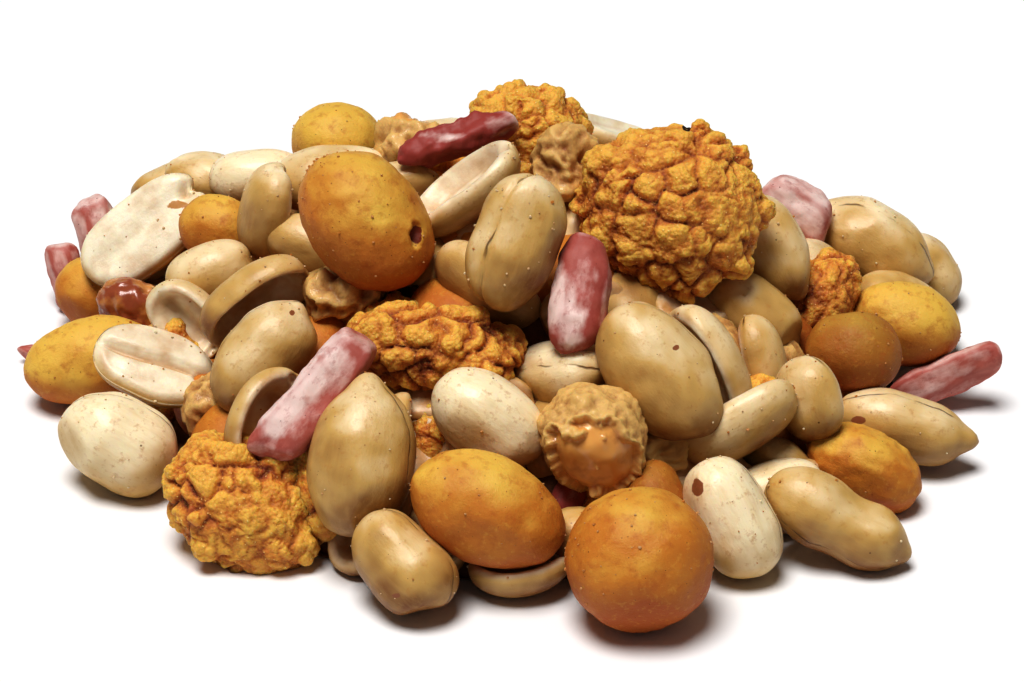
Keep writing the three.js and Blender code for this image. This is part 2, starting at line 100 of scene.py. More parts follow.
# Each measured piece: name; its middle across and up from the target, square to the view,
# and its height above the table (mm); its turn in the view, its lean towards the eye and its roll
# about its length (degrees); its length, width and thickness (mm); its shade, from -1 for the
# darkest roast of its kind to 1 for the palest.
MEASURED = (
    ("cluster_back", 2.7, 21.4, 24.5, -14, 0, 0, 14.8, 12, 12, 1.3),
    ("cluster_big", 17, 13.7, 23, -15, 0, 0, 20.5, 19, 13, 0.2),
    ("stick_dark", -6.2, 21.2, 28.5, 19, 0, 0, 14, 4.6, 4.6, -0.85),
    ("ball_top", -19, 20.7, 22, 0, 0, 0, 9.8, 8.6, 9, 1),
    ("half_pale_back", -26.4, 17.9, 19, 0, 0, 0, 11, 6.6, 4.5, 0.9),
    ("kernel_wrinkled", -31.7, 16.5, 16.5, -14, 0, 0, 11, 6.8, 7, 0.1),
    ("kernel_back_left", -36.6, 15.4, 13, 20, 0, 0, 8.5, 6.5, 7, -0.3),
    ("half_face", -38.9, 11.3, 13, 39, 0, 0, 15.6, 9, 5, 0.6),
    ("kernel_under_face", -37.4, 10.1, 8, 30, 0, 0, 12, 8, 8, -0.2),
    ("stick_left_up", -44, 11.4, 9, -80, 0, 0, 9.4, 5.4, 4.6, 0.8),
    ("stick_left_low", -47.3, 6.6, 5, 100, 0, 0, 8.2, 4.4, 4, 0.4),
    ("ball_left_back", -43.6, 5.7, 5.5, -20, 0, 0, 9.4, 8, 8.4, 0.2),
    ("glazed_red", -39.9, 3.7, 8, -20, 0, 0, 9, 6, 6, -1),
    ("ball_small_back", -31.1, 11.6, 14, -20, 0, 0, 9, 7.5, 7.5, 0.2),
    ("half_standing", -26.2, 13.7, 19, 75, 30, 70, 11, 8, 4.5, -0.1),
    ("half_long_top", -19.1, 17.7, 22.5, 5, 0, 150, 13.5, 7.5, 4.5, 0),
    ("kernel_small_mid", -21.5, 9.9, 17, -25, 0, 0, 10, 6.5, 6, -0.4),
    ("egg_big", -15.5, 12.6, 24, -50, 0, 0, 15.8, 12, 12, 0.2),
    ("glazed_back", -11.1, 20.7, 24.5, 10, 0, 0, 7, 4.6, 6, 0),
    ("glazed_crag_back", 5.7, 17.6, 23.5, 80, 0, 0, 9, 6, 6, -0.2),
    ("kernel_tiny", -11.9, 16.8, 22, 10, 0, 0, 8, 5.5, 5, -0.3),
    ("half_cup", -4.6, 15.7, 25.5, 37, 10, 50, 13.5, 9, 4.5, 0.2),
    ("kernel_split", 0.2, 10.4, 26, 70, 0, 0, 13.6, 8.6, 8.2, -0.3),
    ("half_under", -2.9, 5.2, 19.5, -38, 0, -120, 12.5, 8.5, 4.5, -0.3),
    ("kernel_behind_mid", 6.2, 11, 19, 75, 0, 0, 9.4, 6.6, 7, 0),
    ("stick_mid", 7.2, 5.2, 24, 78, 0, 0, 13.3, 7, 5, -0.2),
    ("kernel_by_cluster", 28.1, 9.6, 15.5, -65, 0, 0, 11.5, 7.5, 7.5, 0.1),
    ("stick_right_back", 30.2, 13.9, 14.5, -35, 0, 0, 9.2, 6.4, 5, 1),
    ("cluster_right", 32.6, 4.4, 10.5, 60, 0, 0, 11, 8, 8.5, -1),
    ("kernel_big_right", 38.3, 10.4, 9, -33, 0, 0, 14, 8.6, 8, -0.02),
    ("kernel_far_right", 43.6, 6.8, 5, -55, 0, 0, 9.2, 6.8, 7, 0),
    ("ball_yellow_right", 41.4, 1.6, 8, -15, 0, 0, 11.8, 8.8, 9, 0.6),
    ("ball_brown_right", 36.4, -1.2, 10, -10, 0, 0, 10, 8.6, 8.6, -0.2),
    ("stick_right", 46.2, -3.2, 4.5, 25, 15, 0, 13.5, 4.8, 4.2, 0.3),
    ("kernel_right", 41.2, -9, 4.8, -15, 0, 0, 13.6, 7.2, 7.2, -0.1),
    ("ball_crag_right", 37.2, -13.5, 4.4, -25, 0, 0, 12.4, 8.3, 8, 0.05),
    ("kernel_front_right", 34.4, -19, 4.5, -30, 0, 0, 15.3, 7.8, 7.4, -0.25),
    ("half_pale_behind", 28.1, -16.1, 3.5, 15, 0, 0, 10, 6.5, 4, 0.4),
    ("kernel_front_mid", 22.9, -18.8, 5.2, -62, 0, 0, 12.6, 8.3, 8, 1),
    ("ball_front", 13.6, -23.2, 6.8, 0, 0, 0, 14.4, 14, 14, -0.2),
    ("half_front", 0.9, -24.3, 2.3, 8, 0, 120, 10.2, 6.6, 4, 0),
    ("egg_front", -2.6, -18.1, 8, -25, 0, 0, 15.6, 10.8, 10.5, 0.1),
    ("kernel_front_left", -11.7, -24.4, 4.2, -48, 15, 0, 11.6, 8, 7.8, -0.35),
    ("cluster_front_left", -28.2, -16.9, 7, -35, 0, 0, 18, 14, 11.5, 0.2),
    ("kernel_left", -42, -10.9, 5, -30, 0, 0, 12.6, 9.9, 9, 0.8),
    ("ball_left", -44.7, -2.1, 5, 12, 0, 0, 14.5, 9.2, 9, 0.6),
    ("stick_left_tip", -46.2, -0.9, 2.8, 8, 0, 0, 13, 3.2, 3.2, 0.4),
    ("half_left", -37.9, -2.6, 10, -20, 0, -35, 12.8, 8.6, 4.5, 0.3),
    ("kernel_mid_left", -26.6, -2, 14, 50, 0, 0, 12.6, 8.5, 8, 0),
    ("half_cup_left", -26, -8.8, 9.5, 60, 0, 35, 12, 9, 4.5, -0.3),
    ("stick_front", -21.1, -6.2, 15.5, 50, 0, 0, 17.4, 6.2, 4.6, 0.2),
    ("kernel_big_front", -16.8, -13.3, 10, 80, 0, 0, 14.8, 10.4, 9.5, -0.3),
    ("half_split", -12, -11.8, 8.5, 80, 0, 90, 12.5, 8, 3.6, -0.2),
    ("half_pale_up", -32.1, 7, 15.5, 20, 0, 180, 9.5, 7, 4.5, 0.2),
    ("half_dark", -27.7, 4.8, 17, 35, 0, -110, 12.5, 9, 4.5, -0.5),
    ("half_low", -34.5, 2.2, 12, -45, 0, 180, 9.5, 7, 4.5, 0.1),
    ("glazed_mid", -17.8, 4.7, 17, -10, 0, 0, 8.5, 5, 5, -0.2),
    ("cluster_mid", -8.7, -1.3, 16, -8, 0, 0, 19, 9.3, 9, -0.1),
    ("kernel_centre", -2.3, -8.2, 13.5, -35, 0, 0, 12.4, 8.4, 8, 1),
    ("kernel_small_centre", 5.1, -3.5, 14, 5, 40, 0, 10.5, 7.2, 7, 0.5),
    ("kernel_large_centre", 15.7, -3.4, 16, -50, 0, 0, 15.5, 9.9, 9, -0.15),
    ("half_crescent", 21.4, -2.2, 14, -62, 0, 60, 13, 8.5, 4.5, 0),
    ("kernel_shade", 25.5, 2.8, 14, -40, 0, 0, 11, 7.5, 7.5, -0.3),
    ("half_thin", 26.7, -2.2, 11.5, -75, 0, 0, 9.5, 5.5, 4, -0.1),
    ("half_small_right", 31.3, -6.5, 10.5, -75, 0, 50, 8.8, 7.6, 4.5, 0.1),
    ("half_long_right", 24.3, -8.9, 10.5, 30, 0, -110, 13, 8.5, 4.5, 0.2),
    ("cluster_crumb", 25.9, -5.4, 10, 20, 0, 0, 5, 3.6, 3.5, 0),
    ("glazed_main", 8.7, -10.6, 12, -50, 0, 0, 11.6, 10.4, 10, 0),
    ("glazed_small", 15.4, -11.3, 9, -10, 0, 0, 6, 4.6, 4.5, 0.7),
    ("ball_small_front", 14.9, -19, 5, 90, 0, 0, 11.6, 7.4, 7.4, -0.5),
    ("kernel_small_brown", 28.3, -13, 6, -25, 0, 0, 7.5, 5, 5, -0.6),
    ("cluster_orange_mid", -8.7, -10.2, 9, -70, 0, 0, 10.5, 8, 8, -0.4),
    ("glazed_left_small", -31.9, -6.8, 7.5, 75, 0, 0, 7, 4.5, 4.5, -0.3),
    ("kernel_tiny_low", 2.7, -12.9, 7, -45, 0, 0, 7, 5, 5, -0.4),
)

# A piece's kind is the first word of its name, but for these.
OTHER_WORDS = {"cluster": "cracker", "ball": "coated", "egg": "coated"}

# The far side repeats this mixture, with sizes drawn between a least and a most (mm).
MIXTURE = (
    "cracker coated kernel half kernel coated stick kernel glazed half "
    "kernel coated kernel half kernel kernel stick half coated cracker"
).split()
SIZES = {
    "kernel": ((11, 15), (7.5, 9.5), (7, 8.8)),
    "half": ((11.5, 15), (7.5, 9), (4, 4.6)),
    "coated": ((10, 15), (9, 12), (9, 11.5)),
    "cracker": ((12, 18), (10, 14), (9, 11)),
    "stick": ((10, 17), (4.6, 6.4), (4, 4.8)),
    "glazed": ((8, 11), (7, 9), (6.5, 8.5)),
}
# How far a dropped piece strays in lean and roll (degrees), how much of its thickness it sinks in
# and how far out it may lie, as a share of the heap's reach.
LEAN_STRAY = 12
ROLL_STRAY = 30
SUNK = 0.4
FURTHEST = 0.94
# Full-sized pieces go down first, then smaller ones into the gaps. Room is the overlap allowed
# before settling (mm).
FAR_SIDE_LAYERS = (
    {"drops": 700, "share": 1, "room": 2.2, "seed": 11},
    {"drops": 700, "share": 0.75, "room": 1.6, "seed": 5},
)
# Pieces deeper in the heap, all round it, which show only down the gaps; their dark shade is
# painted shade.
INNER_DEPTH = 7.0
INNER_PAINTED_SHADE = -0.7
INNER_LAYER = {"drops": 420, "share": 0.85, "room": 3.4, "seed": 23}


# The turn from one to the next that spreads things evenly in a spiral, and a full turn (radians).
GOLDEN_TURN = 2.399963
FULL_TURN = 6.28


# ---- where the pieces lie
class Piece:
    """A piece as the settling sees it: an ellipsoid, with its axes turned as the piece lies."""

    def __init__(self, name, kind, size, axes, at, inward, sight=None, shade=0.0):
        self.name = name
        self.kind = kind
        self.semi = np.array(size) / 2
        self.axes = np.array(axes)
        self.form = self.axes.T @ np.diag(self.semi**2) @ self.axes
        self.below = math.sqrt(self.form[2, 2])
        self.at = np.array(at, float)
        self.inward = inward
        self.sight = sight
        self.shade = shade


def seeded_draw(seed):
    """A repeatable draw, by a linear congruential rule: every call of the returned function gives
    the next number between two."""
    state = seed

    def draw(least=0.0, most=1.0):
        nonlocal state
        state = (state * 1664525 + 1013904223) % 4294967296
        return least + (most - least) * state / 4294967296

    return draw


def unit(vector):
    return vector / np.linalg.norm(vector)


def surface_height(x, y, depth):
    """The height of the mean surface, or of one that lies deeper."""
    half_depth = FRONT_DEPTH if y < 0 else BACK_DEPTH
    reach = math.hypot(x / (HALF_WIDTH - depth), y / (half_depth - depth))
    return (CREST - depth) * (1 - reach**FALL) if reach < 1 else -1.0


def surface_normal(x, y, depth):
    step = 0.5
    along_x = surface_height(x + step, y, depth) - surface_height(x - step, y, depth)
    along_y = surface_height(x, y + step, depth) - surface_height(x, y - step, depth)
    return unit(np.array([-along_x / (2 * step), -along_y / (2 * step), 1.0]))


def swung(first, second, angle):
    """Two directions square to each other, swung in their plane from the first to the second."""
    return (
        first * math.cos(angle) + second * math.sin(angle),
        second * math.cos(angle) - first * math.sin(angle),
    )


def turned_axes(turn, lean, roll, right, up, out):
    """A piece's long, wide and thick directions."""
    turn, lean, roll = map(math.radians, (turn, lean, roll))
    level, _ = swung(right, up, turn)
    along, _ = swung(level, out, lean)
    thick = unit(out - along * along.dot(out))
    return [along, *swung(np.cross(thick, along), thick, roll)]


def measured_pieces():
    pieces = []
    for name, across, up, height, turn, lean, roll, *size, shade in MEASURED:
        word = name.split("_")[0]
        kind = OTHER_WORDS.get(word, word)
        axes = turned_axes(turn, lean, roll, RIGHT, UP, TO_EYE)
        sight = unit(RIGHT * across + UP * up - TO_EYE * EYE_DISTANCE)
        piece = Piece(name, kind, size, axes, EYE, sight, sight, shade)
        piece.at += sight * (max(height, piece.below) - EYE[2]) / sight[2]
        pieces.append(piece)
    return pieces


def overlaps(pieces, first, second, steps=8):
    """The pairs that come near each other, how deep they overlap and the way that parts them.

    The depth is the least over directions n of reach(a, n) + reach(b, n) - distance along n,
    found by a few steps down its slope.
    """
    at = np.array([piece.at for piece in pieces])
    form = np.array([piece.form for piece in pieces])
    longest = np.array([piece.semi.max() for piece in pieces])
    distance = np.linalg.norm(at[second] - at[first], axis=1)
    near = distance <= longest[first] + longest[second]
    first, second, distance = first[near], second[near], distance[near]
    gap = at[second] - at[first]
    normal = gap / distance[:, None]
    parting = normal.copy()
    depth = np.full(len(first), np.inf)
    apart = np.zeros(len(first), bool)
    for _ in range(steps):
        along_a = np.einsum("nij,nj->ni", form[first], normal)
        along_b = np.einsum("nij,nj->ni", form[second], normal)
        reach_a = np.sqrt(np.sum(along_a * normal, axis=1))
        reach_b = np.sqrt(np.sum(along_b * normal, axis=1))
        now = reach_a + reach_b - np.sum(normal * gap, axis=1)
        better = (now < depth) & ~apart
        depth[better] = now[better]
        parting[better] = normal[better]
        apart |= now < 0
        slope = along_a / reach_a[:, None] + along_b / reach_b[:, None] - gap
        slope -= np.sum(slope * normal, axis=1)[:, None] * normal
        normal = normal - SLOPE_STEP / (reach_a + reach_b + distance)[:, None] * slope
        normal /= np.linalg.norm(normal, axis=1)[:, None]
    return first, second, depth, parting


def settle(pieces):
    """Measured pieces are drawn back to their line of sight, and none sinks into the table."""
    first, second = np.triu_indices(len(pieces), 1)
    for _ in range(SETTLE_ROUNDS):
        moves = np.zeros((len(pieces), 3))
        a, b, depth, parting = overlaps(pieces, first, second)
        push = np.maximum(depth - CONTACT, 0)[:, None] * PUSH_SHARE * parting
        np.subtract.at(moves, a, push)
        np.add.at(moves, b, push)
        for piece, move in zip(pieces, moves):
            piece.at += move
            bed = surface_height(piece.at[0], piece.at[1], CORE_DEPTH) - BEDDING
            if piece.at[2] - piece.below > max(bed, 0):
                piece.at += piece.inward * INWARD_STEP
            if piece.sight is not None:
                on_sight = EYE + piece.sight * (piece.at - EYE).dot(piece.sight)
                piece.at += (on_sight - piece.at) * SIGHT_SHARE
            piece.at[2] = max(piece.at[2], piece.below - TABLE_CONTACT)


def drop_pieces(pieces, drops, share, room, seed, label, depth=HIDDEN_DEPTH, from_y=FAR_SIDE_FROM):
    """Drops pieces in a spiral over the mean surface, wherever there is room."""
    draw = seeded_draw(seed)
    count = 0
    for drop in range(drops):
        kind = MIXTURE[count % len(MIXTURE)]
        size = [share * draw(least, most) for least, most in SIZES[kind]]
        turn = draw(0, 360)
        lean, roll = draw(-LEAN_STRAY, LEAN_STRAY), draw(-ROLL_STRAY, ROLL_STRAY)
        reach = FURTHEST * math.sqrt((drop + 0.5) / drops)
        x = (HALF_WIDTH - depth) * reach * math.cos(drop * GOLDEN_TURN)
        y = (BACK_DEPTH - depth) * reach * math.sin(drop * GOLDEN_TURN)
        if y < from_y:
            continue
        out = surface_normal(x, y, depth)
        right = unit(np.cross((0, 1, 0), out))
        axes = turned_axes(turn, lean, roll, right, np.cross(out, right), out)
        at = np.array([x, y, surface_height(x, y, depth)]) - out * SUNK * size[2]
        # the shades go to and fro, out of step with the mixture; buried pieces take painted shade
        shade = INNER_PAINTED_SHADE if label == "inner" else 0.8 * math.sin(2.3 * count)
        piece = Piece(f"{label}_{count}", kind, size, axes, at, -out, None, shade)
        piece.at[2] = max(piece.at[2], piece.below)
        others = np.arange(len(pieces))
        newest = np.full(len(pieces), len(pieces))
        _, _, depths, _ = overlaps(pieces + [piece], newest, others, 4)
        if np.all(depths < room):
            pieces.append(piece)
            count += 1


def heap_pieces():
    pieces = measured_pieces()
    for number, layer in enumerate(FAR_SIDE_LAYERS):
        drop_pieces(pieces, **layer, label=f"far{number}")
    settle(pieces)
    drop_pieces(pieces, **INNER_LAYER, label="inner", depth=INNER_DEPTH, from_y=-HALF_WIDTH)
    return pieces


# How far a piece is leaned towards the eye and rolled on about its length from how the solid has
# it, so that its split side faces as in the photograph (degrees).
TURNED = {
    "half_dark": (0, 172), "half_cup": (0, -118), "half_standing": (0, 40),
    "half_front": (0, 180), "half_thin": (0, 110), "half_small_right": (0, 180),
    "half_pale_behind": (0, 180), "half_low": (0, 205), "half_pale_back": (0, 150),
    "stick_mid": (-16, 0), "half_face": (0, -20), "stick_front": (-6, 0),
    "half_cup_left": (-12, 0),
}
# Pieces that are moved on a little: to the right, up and towards the eye (mm).
NUDGED = {
    "stick_mid": (0.3, -0.3, -1.6), "half_thin": (0.2, 0.3, -0.6), "kernel_front_left": (0, 0.8, 0),
    "cluster_front_left": (0.3, -0.2, -4.6), "kernel_front_mid": (0, 0, 1.2),
    "half_front": (0, 0, 1.5), "half_cup_left": (0, 0, 3.0), "stick_front": (0, 0, 2.6),
    "cluster_back": (-0.8, 0.2, 0),
}


def turned_on(pieces):
    for piece in pieces:
        lean, roll = map(math.radians, TURNED.get(piece.name, (0, 0)))
        along, wide, thick = piece.axes
        along, thick = swung(along, thick, lean)
        piece.axes = np.array([along, *swung(wide, thick, roll)])
        right, up, out = NUDGED.get(piece.name, (0, 0, 0))
        piece.at = piece.at + RIGHT * right + UP * up + TO_EYE * out
    return pieces


# Marks that stand out on single pieces: middle across and up from the target, square to the view,
# half the width and half the height (mm).
SPOTS = {
    "kernel_front_mid": ((19.8, -15.6, 0.65, 1.0),),
    "kernel_large_centre": ((17.5, -0.7, 0.45, 0.4), (12.9, -5.6, 0.3, 0.3)),
    "kernel_right": ((36.9, -8.4, 0.9, 0.45),),
    "kernel_front_right": ((31.0, -16.4, 0.3, 0.3),),
    "kernel_mid_left": ((-23.4, 3.0, 0.3, 0.3),),
    "kernel_front_left": ((-12.3, -27.1, 0.5, 0.35),),
    "kernel_big_right": ((27.6, 8.8, 1.6, 0.25),),
    "half_face": ((-35.7, 14.5, 1.2, 0.5), (-37.6, 12.9, 0.25, 0.25)),
    "egg_big": ((-10.2, 11.3, 0.62, 1.3),),
    "cluster_big": ((18.6, 22.7, 0.55, 0.4),),
    "stick_mid": ((4.9, 4.3, 1.1, 2.4), (6.3, 1.6, 1.1, 1.5)),
    "stick_dark": ((-0.7, 23.3, 1.6, 0.9), (-7.5, 21.7, 1.5, 0.4)),
    "stick_front": (
        (-19.6, -0.2, 1.3, 1.6), (-21.6, -3.2, 1.1, 2.0), (-23.6, -6.0, 1.1, 2.0),
        (-25.4, -8.4, 1.0, 1.6),
    ),
}


# ---- shaping
def noise_at(points, size, seed=0.0):
    """Smooth noise, about -1 to 1, at each point (mm), in lumps about as large as size."""
    return np.array([noise.noise(p) for p in (points / size + seed).tolist()])


def rough(points, seed, *layers):
    """Layers of smooth noise added up; each is its size and height (mm) and a step of the seed."""
    return sum(height * noise_at(points, size, seed + step) for size, height, step in layers)


def warped(points, size, reach, seed):
    """The points, strayed by noise in each direction."""
    stray = [noise_at(points, size, seed + step) for step in (20, 40, 60)]
    return points + reach * np.stack(stray, axis=1)


def smooth_step(values, least, most):
    share = np.clip((values - least) / (most - least), 0, 1)
    return share * share * (3 - 2 * share)


def bell(away, width):
    """1 in the middle, falling to about a third at a width away."""
    return np.exp(-((away / width) ** 2))


def values_of(items, key, width, kind=np.float32):
    """What each of a mesh's vertices, edges or normals holds under a key, as rows."""
    values = np.empty(len(items) * width, kind)
    items.foreach_get(key, values)
    return values.reshape(-1, width)


def mesh_points(mesh):
    return values_of(mesh.vertices, "co", 3).astype(float)


def mesh_normals(mesh):
    return values_of(mesh.vertex_normals, "vector", 3).astype(float)


def set_points(mesh, points):
    mesh.vertices.foreach_set("co", points.astype(np.float32).ravel())
    mesh.update()


def as_mesh(bm, name):
    mesh = bpy.data.meshes.new(name)
    bm.to_mesh(mesh)
    bm.free()
    return mesh


# How wide the faces of each kind are (mm), and of pieces with finer detail. Pieces at the back get
# wider ones, and buried pieces wider still.
FACE_WIDTHS = {
    "kernel": 0.42, "half": 0.34, "coated": 0.38, "stick": 0.28, "glazed": 0.26,
    "kernel_split": 0.26, "egg_big": 0.26, "glazed_main": 0.2,
}
FAR_SIDE_WIDER = 1.5
INNER_WIDER = 2.8


def face_width(piece, width):
    if piece.name.startswith("inner"):
        return INNER_WIDER * width
    return FAR_SIDE_WIDER * width if piece.name.startswith("far") else width


def round_mesh(piece):
    """A unit ball with its poles along the piece's length, and faces that suit its size."""
    spacing = face_width(piece, FACE_WIDTHS.get(piece.name, FACE_WIDTHS[piece.kind]))
    long, wide, thick = piece.semi
    around = 2 * round(math.pi * (wide + thick) / spacing / 2)
    rings = round(math.pi * (long + (wide + thick) / 2) / 2 / spacing)
    bm = bmesh.new()
    turn = Matrix.Rotation(math.pi / 2, 4, "Y")
    bmesh.ops.create_uvsphere(bm, u_segments=around, v_segments=rings, radius=1, matrix=turn)
    return as_mesh(bm, "shape")


def relaxed(points, edges, rounds):
    """The points, each moved a few times to the middle of its neighbours."""
    start, end = edges.T
    count = np.bincount(edges.ravel(), minlength=len(points))
    for _ in range(rounds):
        points = np.stack([
            np.bincount(start, points[end, axis], len(points))
            + np.bincount(end, points[start, axis], len(points))
            for axis in range(3)
        ], axis=1) / count[:, None]
    return points


def hollows(mesh, spread):
    """How far each vertex lies below its surroundings (mm): above 0 down in a crevice."""
    points = mesh_points(mesh)
    edges = values_of(mesh.edges, "vertices", 2, np.int32)
    spacing = np.linalg.norm(points[edges[:, 1]] - points[edges[:, 0]], axis=1).mean()
    smooth = relaxed(points, edges, max(2, round((spread / spacing) ** 2)))
    return np.sum((smooth - points) * mesh_normals(mesh), axis=1)


def seen_at(points):
    """Where points in the heap (mm) are seen: across and up, square to the view (mm)."""
    away = points - EYE
    scale = EYE_DISTANCE / -(away @ TO_EYE)
    return away @ RIGHT * scale, away @ UP * scale


def spotted(piece, points, normals, seed):
    """How far each point in the piece's own axes lies inside one of its SPOTS: 1 in its middle, 0
    at its edge and less outside."""
    spot = np.full(len(points), -1.0)
    if piece.name not in SPOTS:
        return spot
    across, up = seen_at(piece.at + points @ piece.axes)
    ragged = rough(points, seed, (0.9, 0.35, 0), (0.4, 0.2, 2))
    for middle, height, half_width, half_height in SPOTS[piece.name]:
        away = np.hypot((across - middle) / half_width, (up - height) / half_height)
        spot = np.maximum(spot, 1 - away - ragged)
    return np.where((normals @ piece.axes) @ TO_EYE > 0, np.maximum(spot, -1), -1)


# How far a piece's patterns are moved on from those of the piece before (mm).
PATTERN_STEP = np.array([31.0, 17.0, 7.0])


class Batch:
    """Gathers the shaped pieces of one kind in one mesh, with what their material reads.

    Attributes: place, the point in the piece's own axes (mm), moved on by a step for each piece so
    that no two share a pattern; shade, the piece's roast; hollow, the depth below what surrounds
    a point (mm); under, 0 on top to 1 underneath, which the finishes use to lay painted shade on
    the undersides; mark and spot, which each kind uses in its own way.
    """

    MARKS = ("place", "shade", "hollow", "under", "mark", "spot")

    def __init__(self, name):
        self.name = name
        self.bm = bmesh.new()
        self.marks = {key: [] for key in self.MARKS}

    def add(self, piece, mesh, mark, seed, spread):
        """Joins on a shaped piece, as it lies in the heap and not below the table."""
        points = mesh_points(mesh)
        normals = mesh_normals(mesh)
        found = {
            "place": points + PATTERN_STEP * len(self.marks["place"]),
            "shade": np.full(len(points), piece.shade),
            "hollow": hollows(mesh, spread),
            # how far a point faces down, for painted shade on the undersides
            "under": 0.5 - 0.5 * (normals @ piece.axes)[:, 2],
            "mark": mark,
            "spot": spotted(piece, points, normals, seed),
        }
        for key, values in found.items():
            self.marks[key].append(values)
        lying = piece.at + points @ piece.axes
        lying[:, 2] = np.maximum(lying[:, 2], 0)
        set_points(mesh, lying * MM)
        self.bm.from_mesh(mesh)
        bpy.data.meshes.remove(mesh)

    def finish(self, material, slot):
        """The joined piece, shown in place of the fused solid."""
        mesh = as_mesh(self.bm, self.name)
        mesh.shade_smooth()
        for name, parts in self.marks.items():
            values = np.concatenate(parts).astype(np.float32)
            kind, field = ("FLOAT_VECTOR", "vector") if values.ndim > 1 else ("FLOAT", "value")
            mesh.attributes.new(name, kind, "POINT").data.foreach_set(field, values.ravel())
        show(mesh, material)


def placed(name, data):
    """A new object in the scene."""
    thing = bpy.data.objects.new(name, data)
    bpy.context.scene.collection.objects.link(thing)
    return thing


def show(mesh, material):
    """Puts a piece of the heap in the scene, in place of the fused solid."""
    piece = placed(mesh.name, mesh)
    mesh.materials.append(material)
    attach(piece, "root")
    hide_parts(NODE)


# Which way a kernel's seam lies round it (degrees from its wide side towards the eye); kernels
# that aren't named take one by chance.
SEAMS = {
    "kernel_split": 56, "kernel_big_front": -22, "kernel_right": 35, "kernel_front_right": -30,
    "kernel_large_centre": 8, "kernel_left": 12, "kernel_centre": -10, "kernel_front_left": 20,
    "kernel_front_mid": 15, "kernel_big_right": 40, "kernel_small_centre": 75,
    "kernel_back_left": 65, "kernel_mid_left": 10,
}
# Far enough from a seam to show none (mm).
SEAM_FAR = 4.0
# How much a kernel draws in at its middle, as a share of its girth.
WAISTS = {"kernel_front_right": 0.16, "kernel_right": 0.05, "kernel_large_centre": 0.0}
# How far a kernel's tip stands out at its long end (mm).
TIPS = {
    "kernel_right": 1.7, "kernel_front_right": 1.0, "kernel_big_front": 1.5, "kernel_split": 0.2,
    "kernel_large_centre": 0.5, "kernel_front_mid": 0.3, "kernel_left": 0.4,
}


def flattened(ball, draw, level=0.8, share=0.7):
    """A unit ball's points, pressed a little flat on one side."""
    side = unit(np.array([draw(-1, 1), draw(-1, 1), draw(-1, 1)]))
    beyond = np.maximum(ball @ side - level, 0)
    return ball - (share * beyond**2 / (beyond + 0.05))[:, None] * side


def outwards(ball, semi):
    """Square to an ellipsoid, at the points of the unit ball that it is made from."""
    out = ball / semi
    return out / np.linalg.norm(out, axis=1)[:, None]


def plumped(x, plump):
    """How much fuller a ball's rings get when it is made blunt: a round end is 2, a box more."""
    ring = (1 - np.minimum(np.abs(x), 1) ** plump) ** (1 / plump)
    return ring / np.maximum(np.sqrt(np.maximum(1 - x * x, 0)), 1e-6)


def kernel_shape(piece, options, draw):
    """A whole kernel: a little egg-shaped and uneven, with a blunt tip. Its mark is the distance
    from the seam between its halves (mm)."""
    mesh = round_mesh(piece)
    seam = math.radians(SEAMS.get(piece.name, draw(-80, 80)))
    tip = TIPS.get(piece.name, draw(0.2, 0.9))
    ball = flattened(flattened(mesh_points(mesh), draw), draw, 0.86)
    x, y, z = ball.T
    ring = plumped(x, draw(2.1, 2.4))
    waist = WAISTS.get(piece.name, draw(0, 0.05))
    girth = (1.02 + draw(0.02, 0.1) * x - waist * bell(x - 0.15, 0.3)) * ring
    long, wide, thick = piece.semi
    bend = draw(-0.5, 0.5)
    points = np.stack([
        x * long, girth * y * wide + bend * (x * x - 0.4), girth * z * thick
    ], axis=1)
    along, across = swung(points[:, 1], points[:, 2], seam)
    seed = draw(0, 90)
    valley = bell(across, 4 * options.seam_width / MM)
    creased = 0.5 if piece.name == "kernel_wrinkled" else 0.12
    wrinkles = np.maximum(0.25 - np.abs(noise_at(points * (0.35, 1, 1), 1.7, seed + 7)), 0)
    swell = rough(points, seed, (5.5, 0.3, 0), (2.3, 0.12, 3)) - creased * wrinkles
    nub = tip * bell(np.hypot(along - 0.12 * wide, across), 0.3 * wide) * (x > 0)
    move = swell - options.seam_depth / MM * valley + nub
    if piece.name == "kernel_split":
        line = across + 0.3 * noise_at(points * (1, 0, 0), 3.0, seed)
        move += 0.16 * smooth_step(line, -0.3, 0.2) - 0.34 * bell(line, 0.22)
    set_points(mesh, points + outwards(ball, piece.semi) * move[:, None])
    shown = piece.name in SEAMS or draw() < 0.4
    return mesh, np.clip(across, -SEAM_FAR, SEAM_FAR) if shown else np.full(len(points), SEAM_FAR)


# A half's split side: how deep it is hollowed, how far its lobes swell and how deep its furrow is,
# as shares of its thickness, and how wide the furrow is, as a share of its width. Halves that
# aren't named take theirs by chance.
FACES = {
    "half_face": (0.0, 0.12, 0.16, 0.26), "half_left": (0.03, 0.2, 0.5, 0.12),
    "half_pale_back": (0.0, 0.1, 0.0, 0.3), "half_cup": (0.85, 0, 0.1, 0.3),
    "half_dark": (1.3, 0, 0, 0.3), "half_crescent": (0.5, 0, 0.3, 0.2),
    "half_cup_left": (0.95, 0, 0, 0.3), "half_standing": (0.5, 0, 0.2, 0.2),
    "half_long_right": (0.3, 0, 0.3, 0.2), "half_under": (0.5, 0, 0.2, 0.2),
    "half_split": (0.3, 0, 0.3, 0.2),
}
# Heights above a half's middle, as shares of its thickness.
EDGE_LEVEL = 0.4
FACE_LEVEL = 0.92


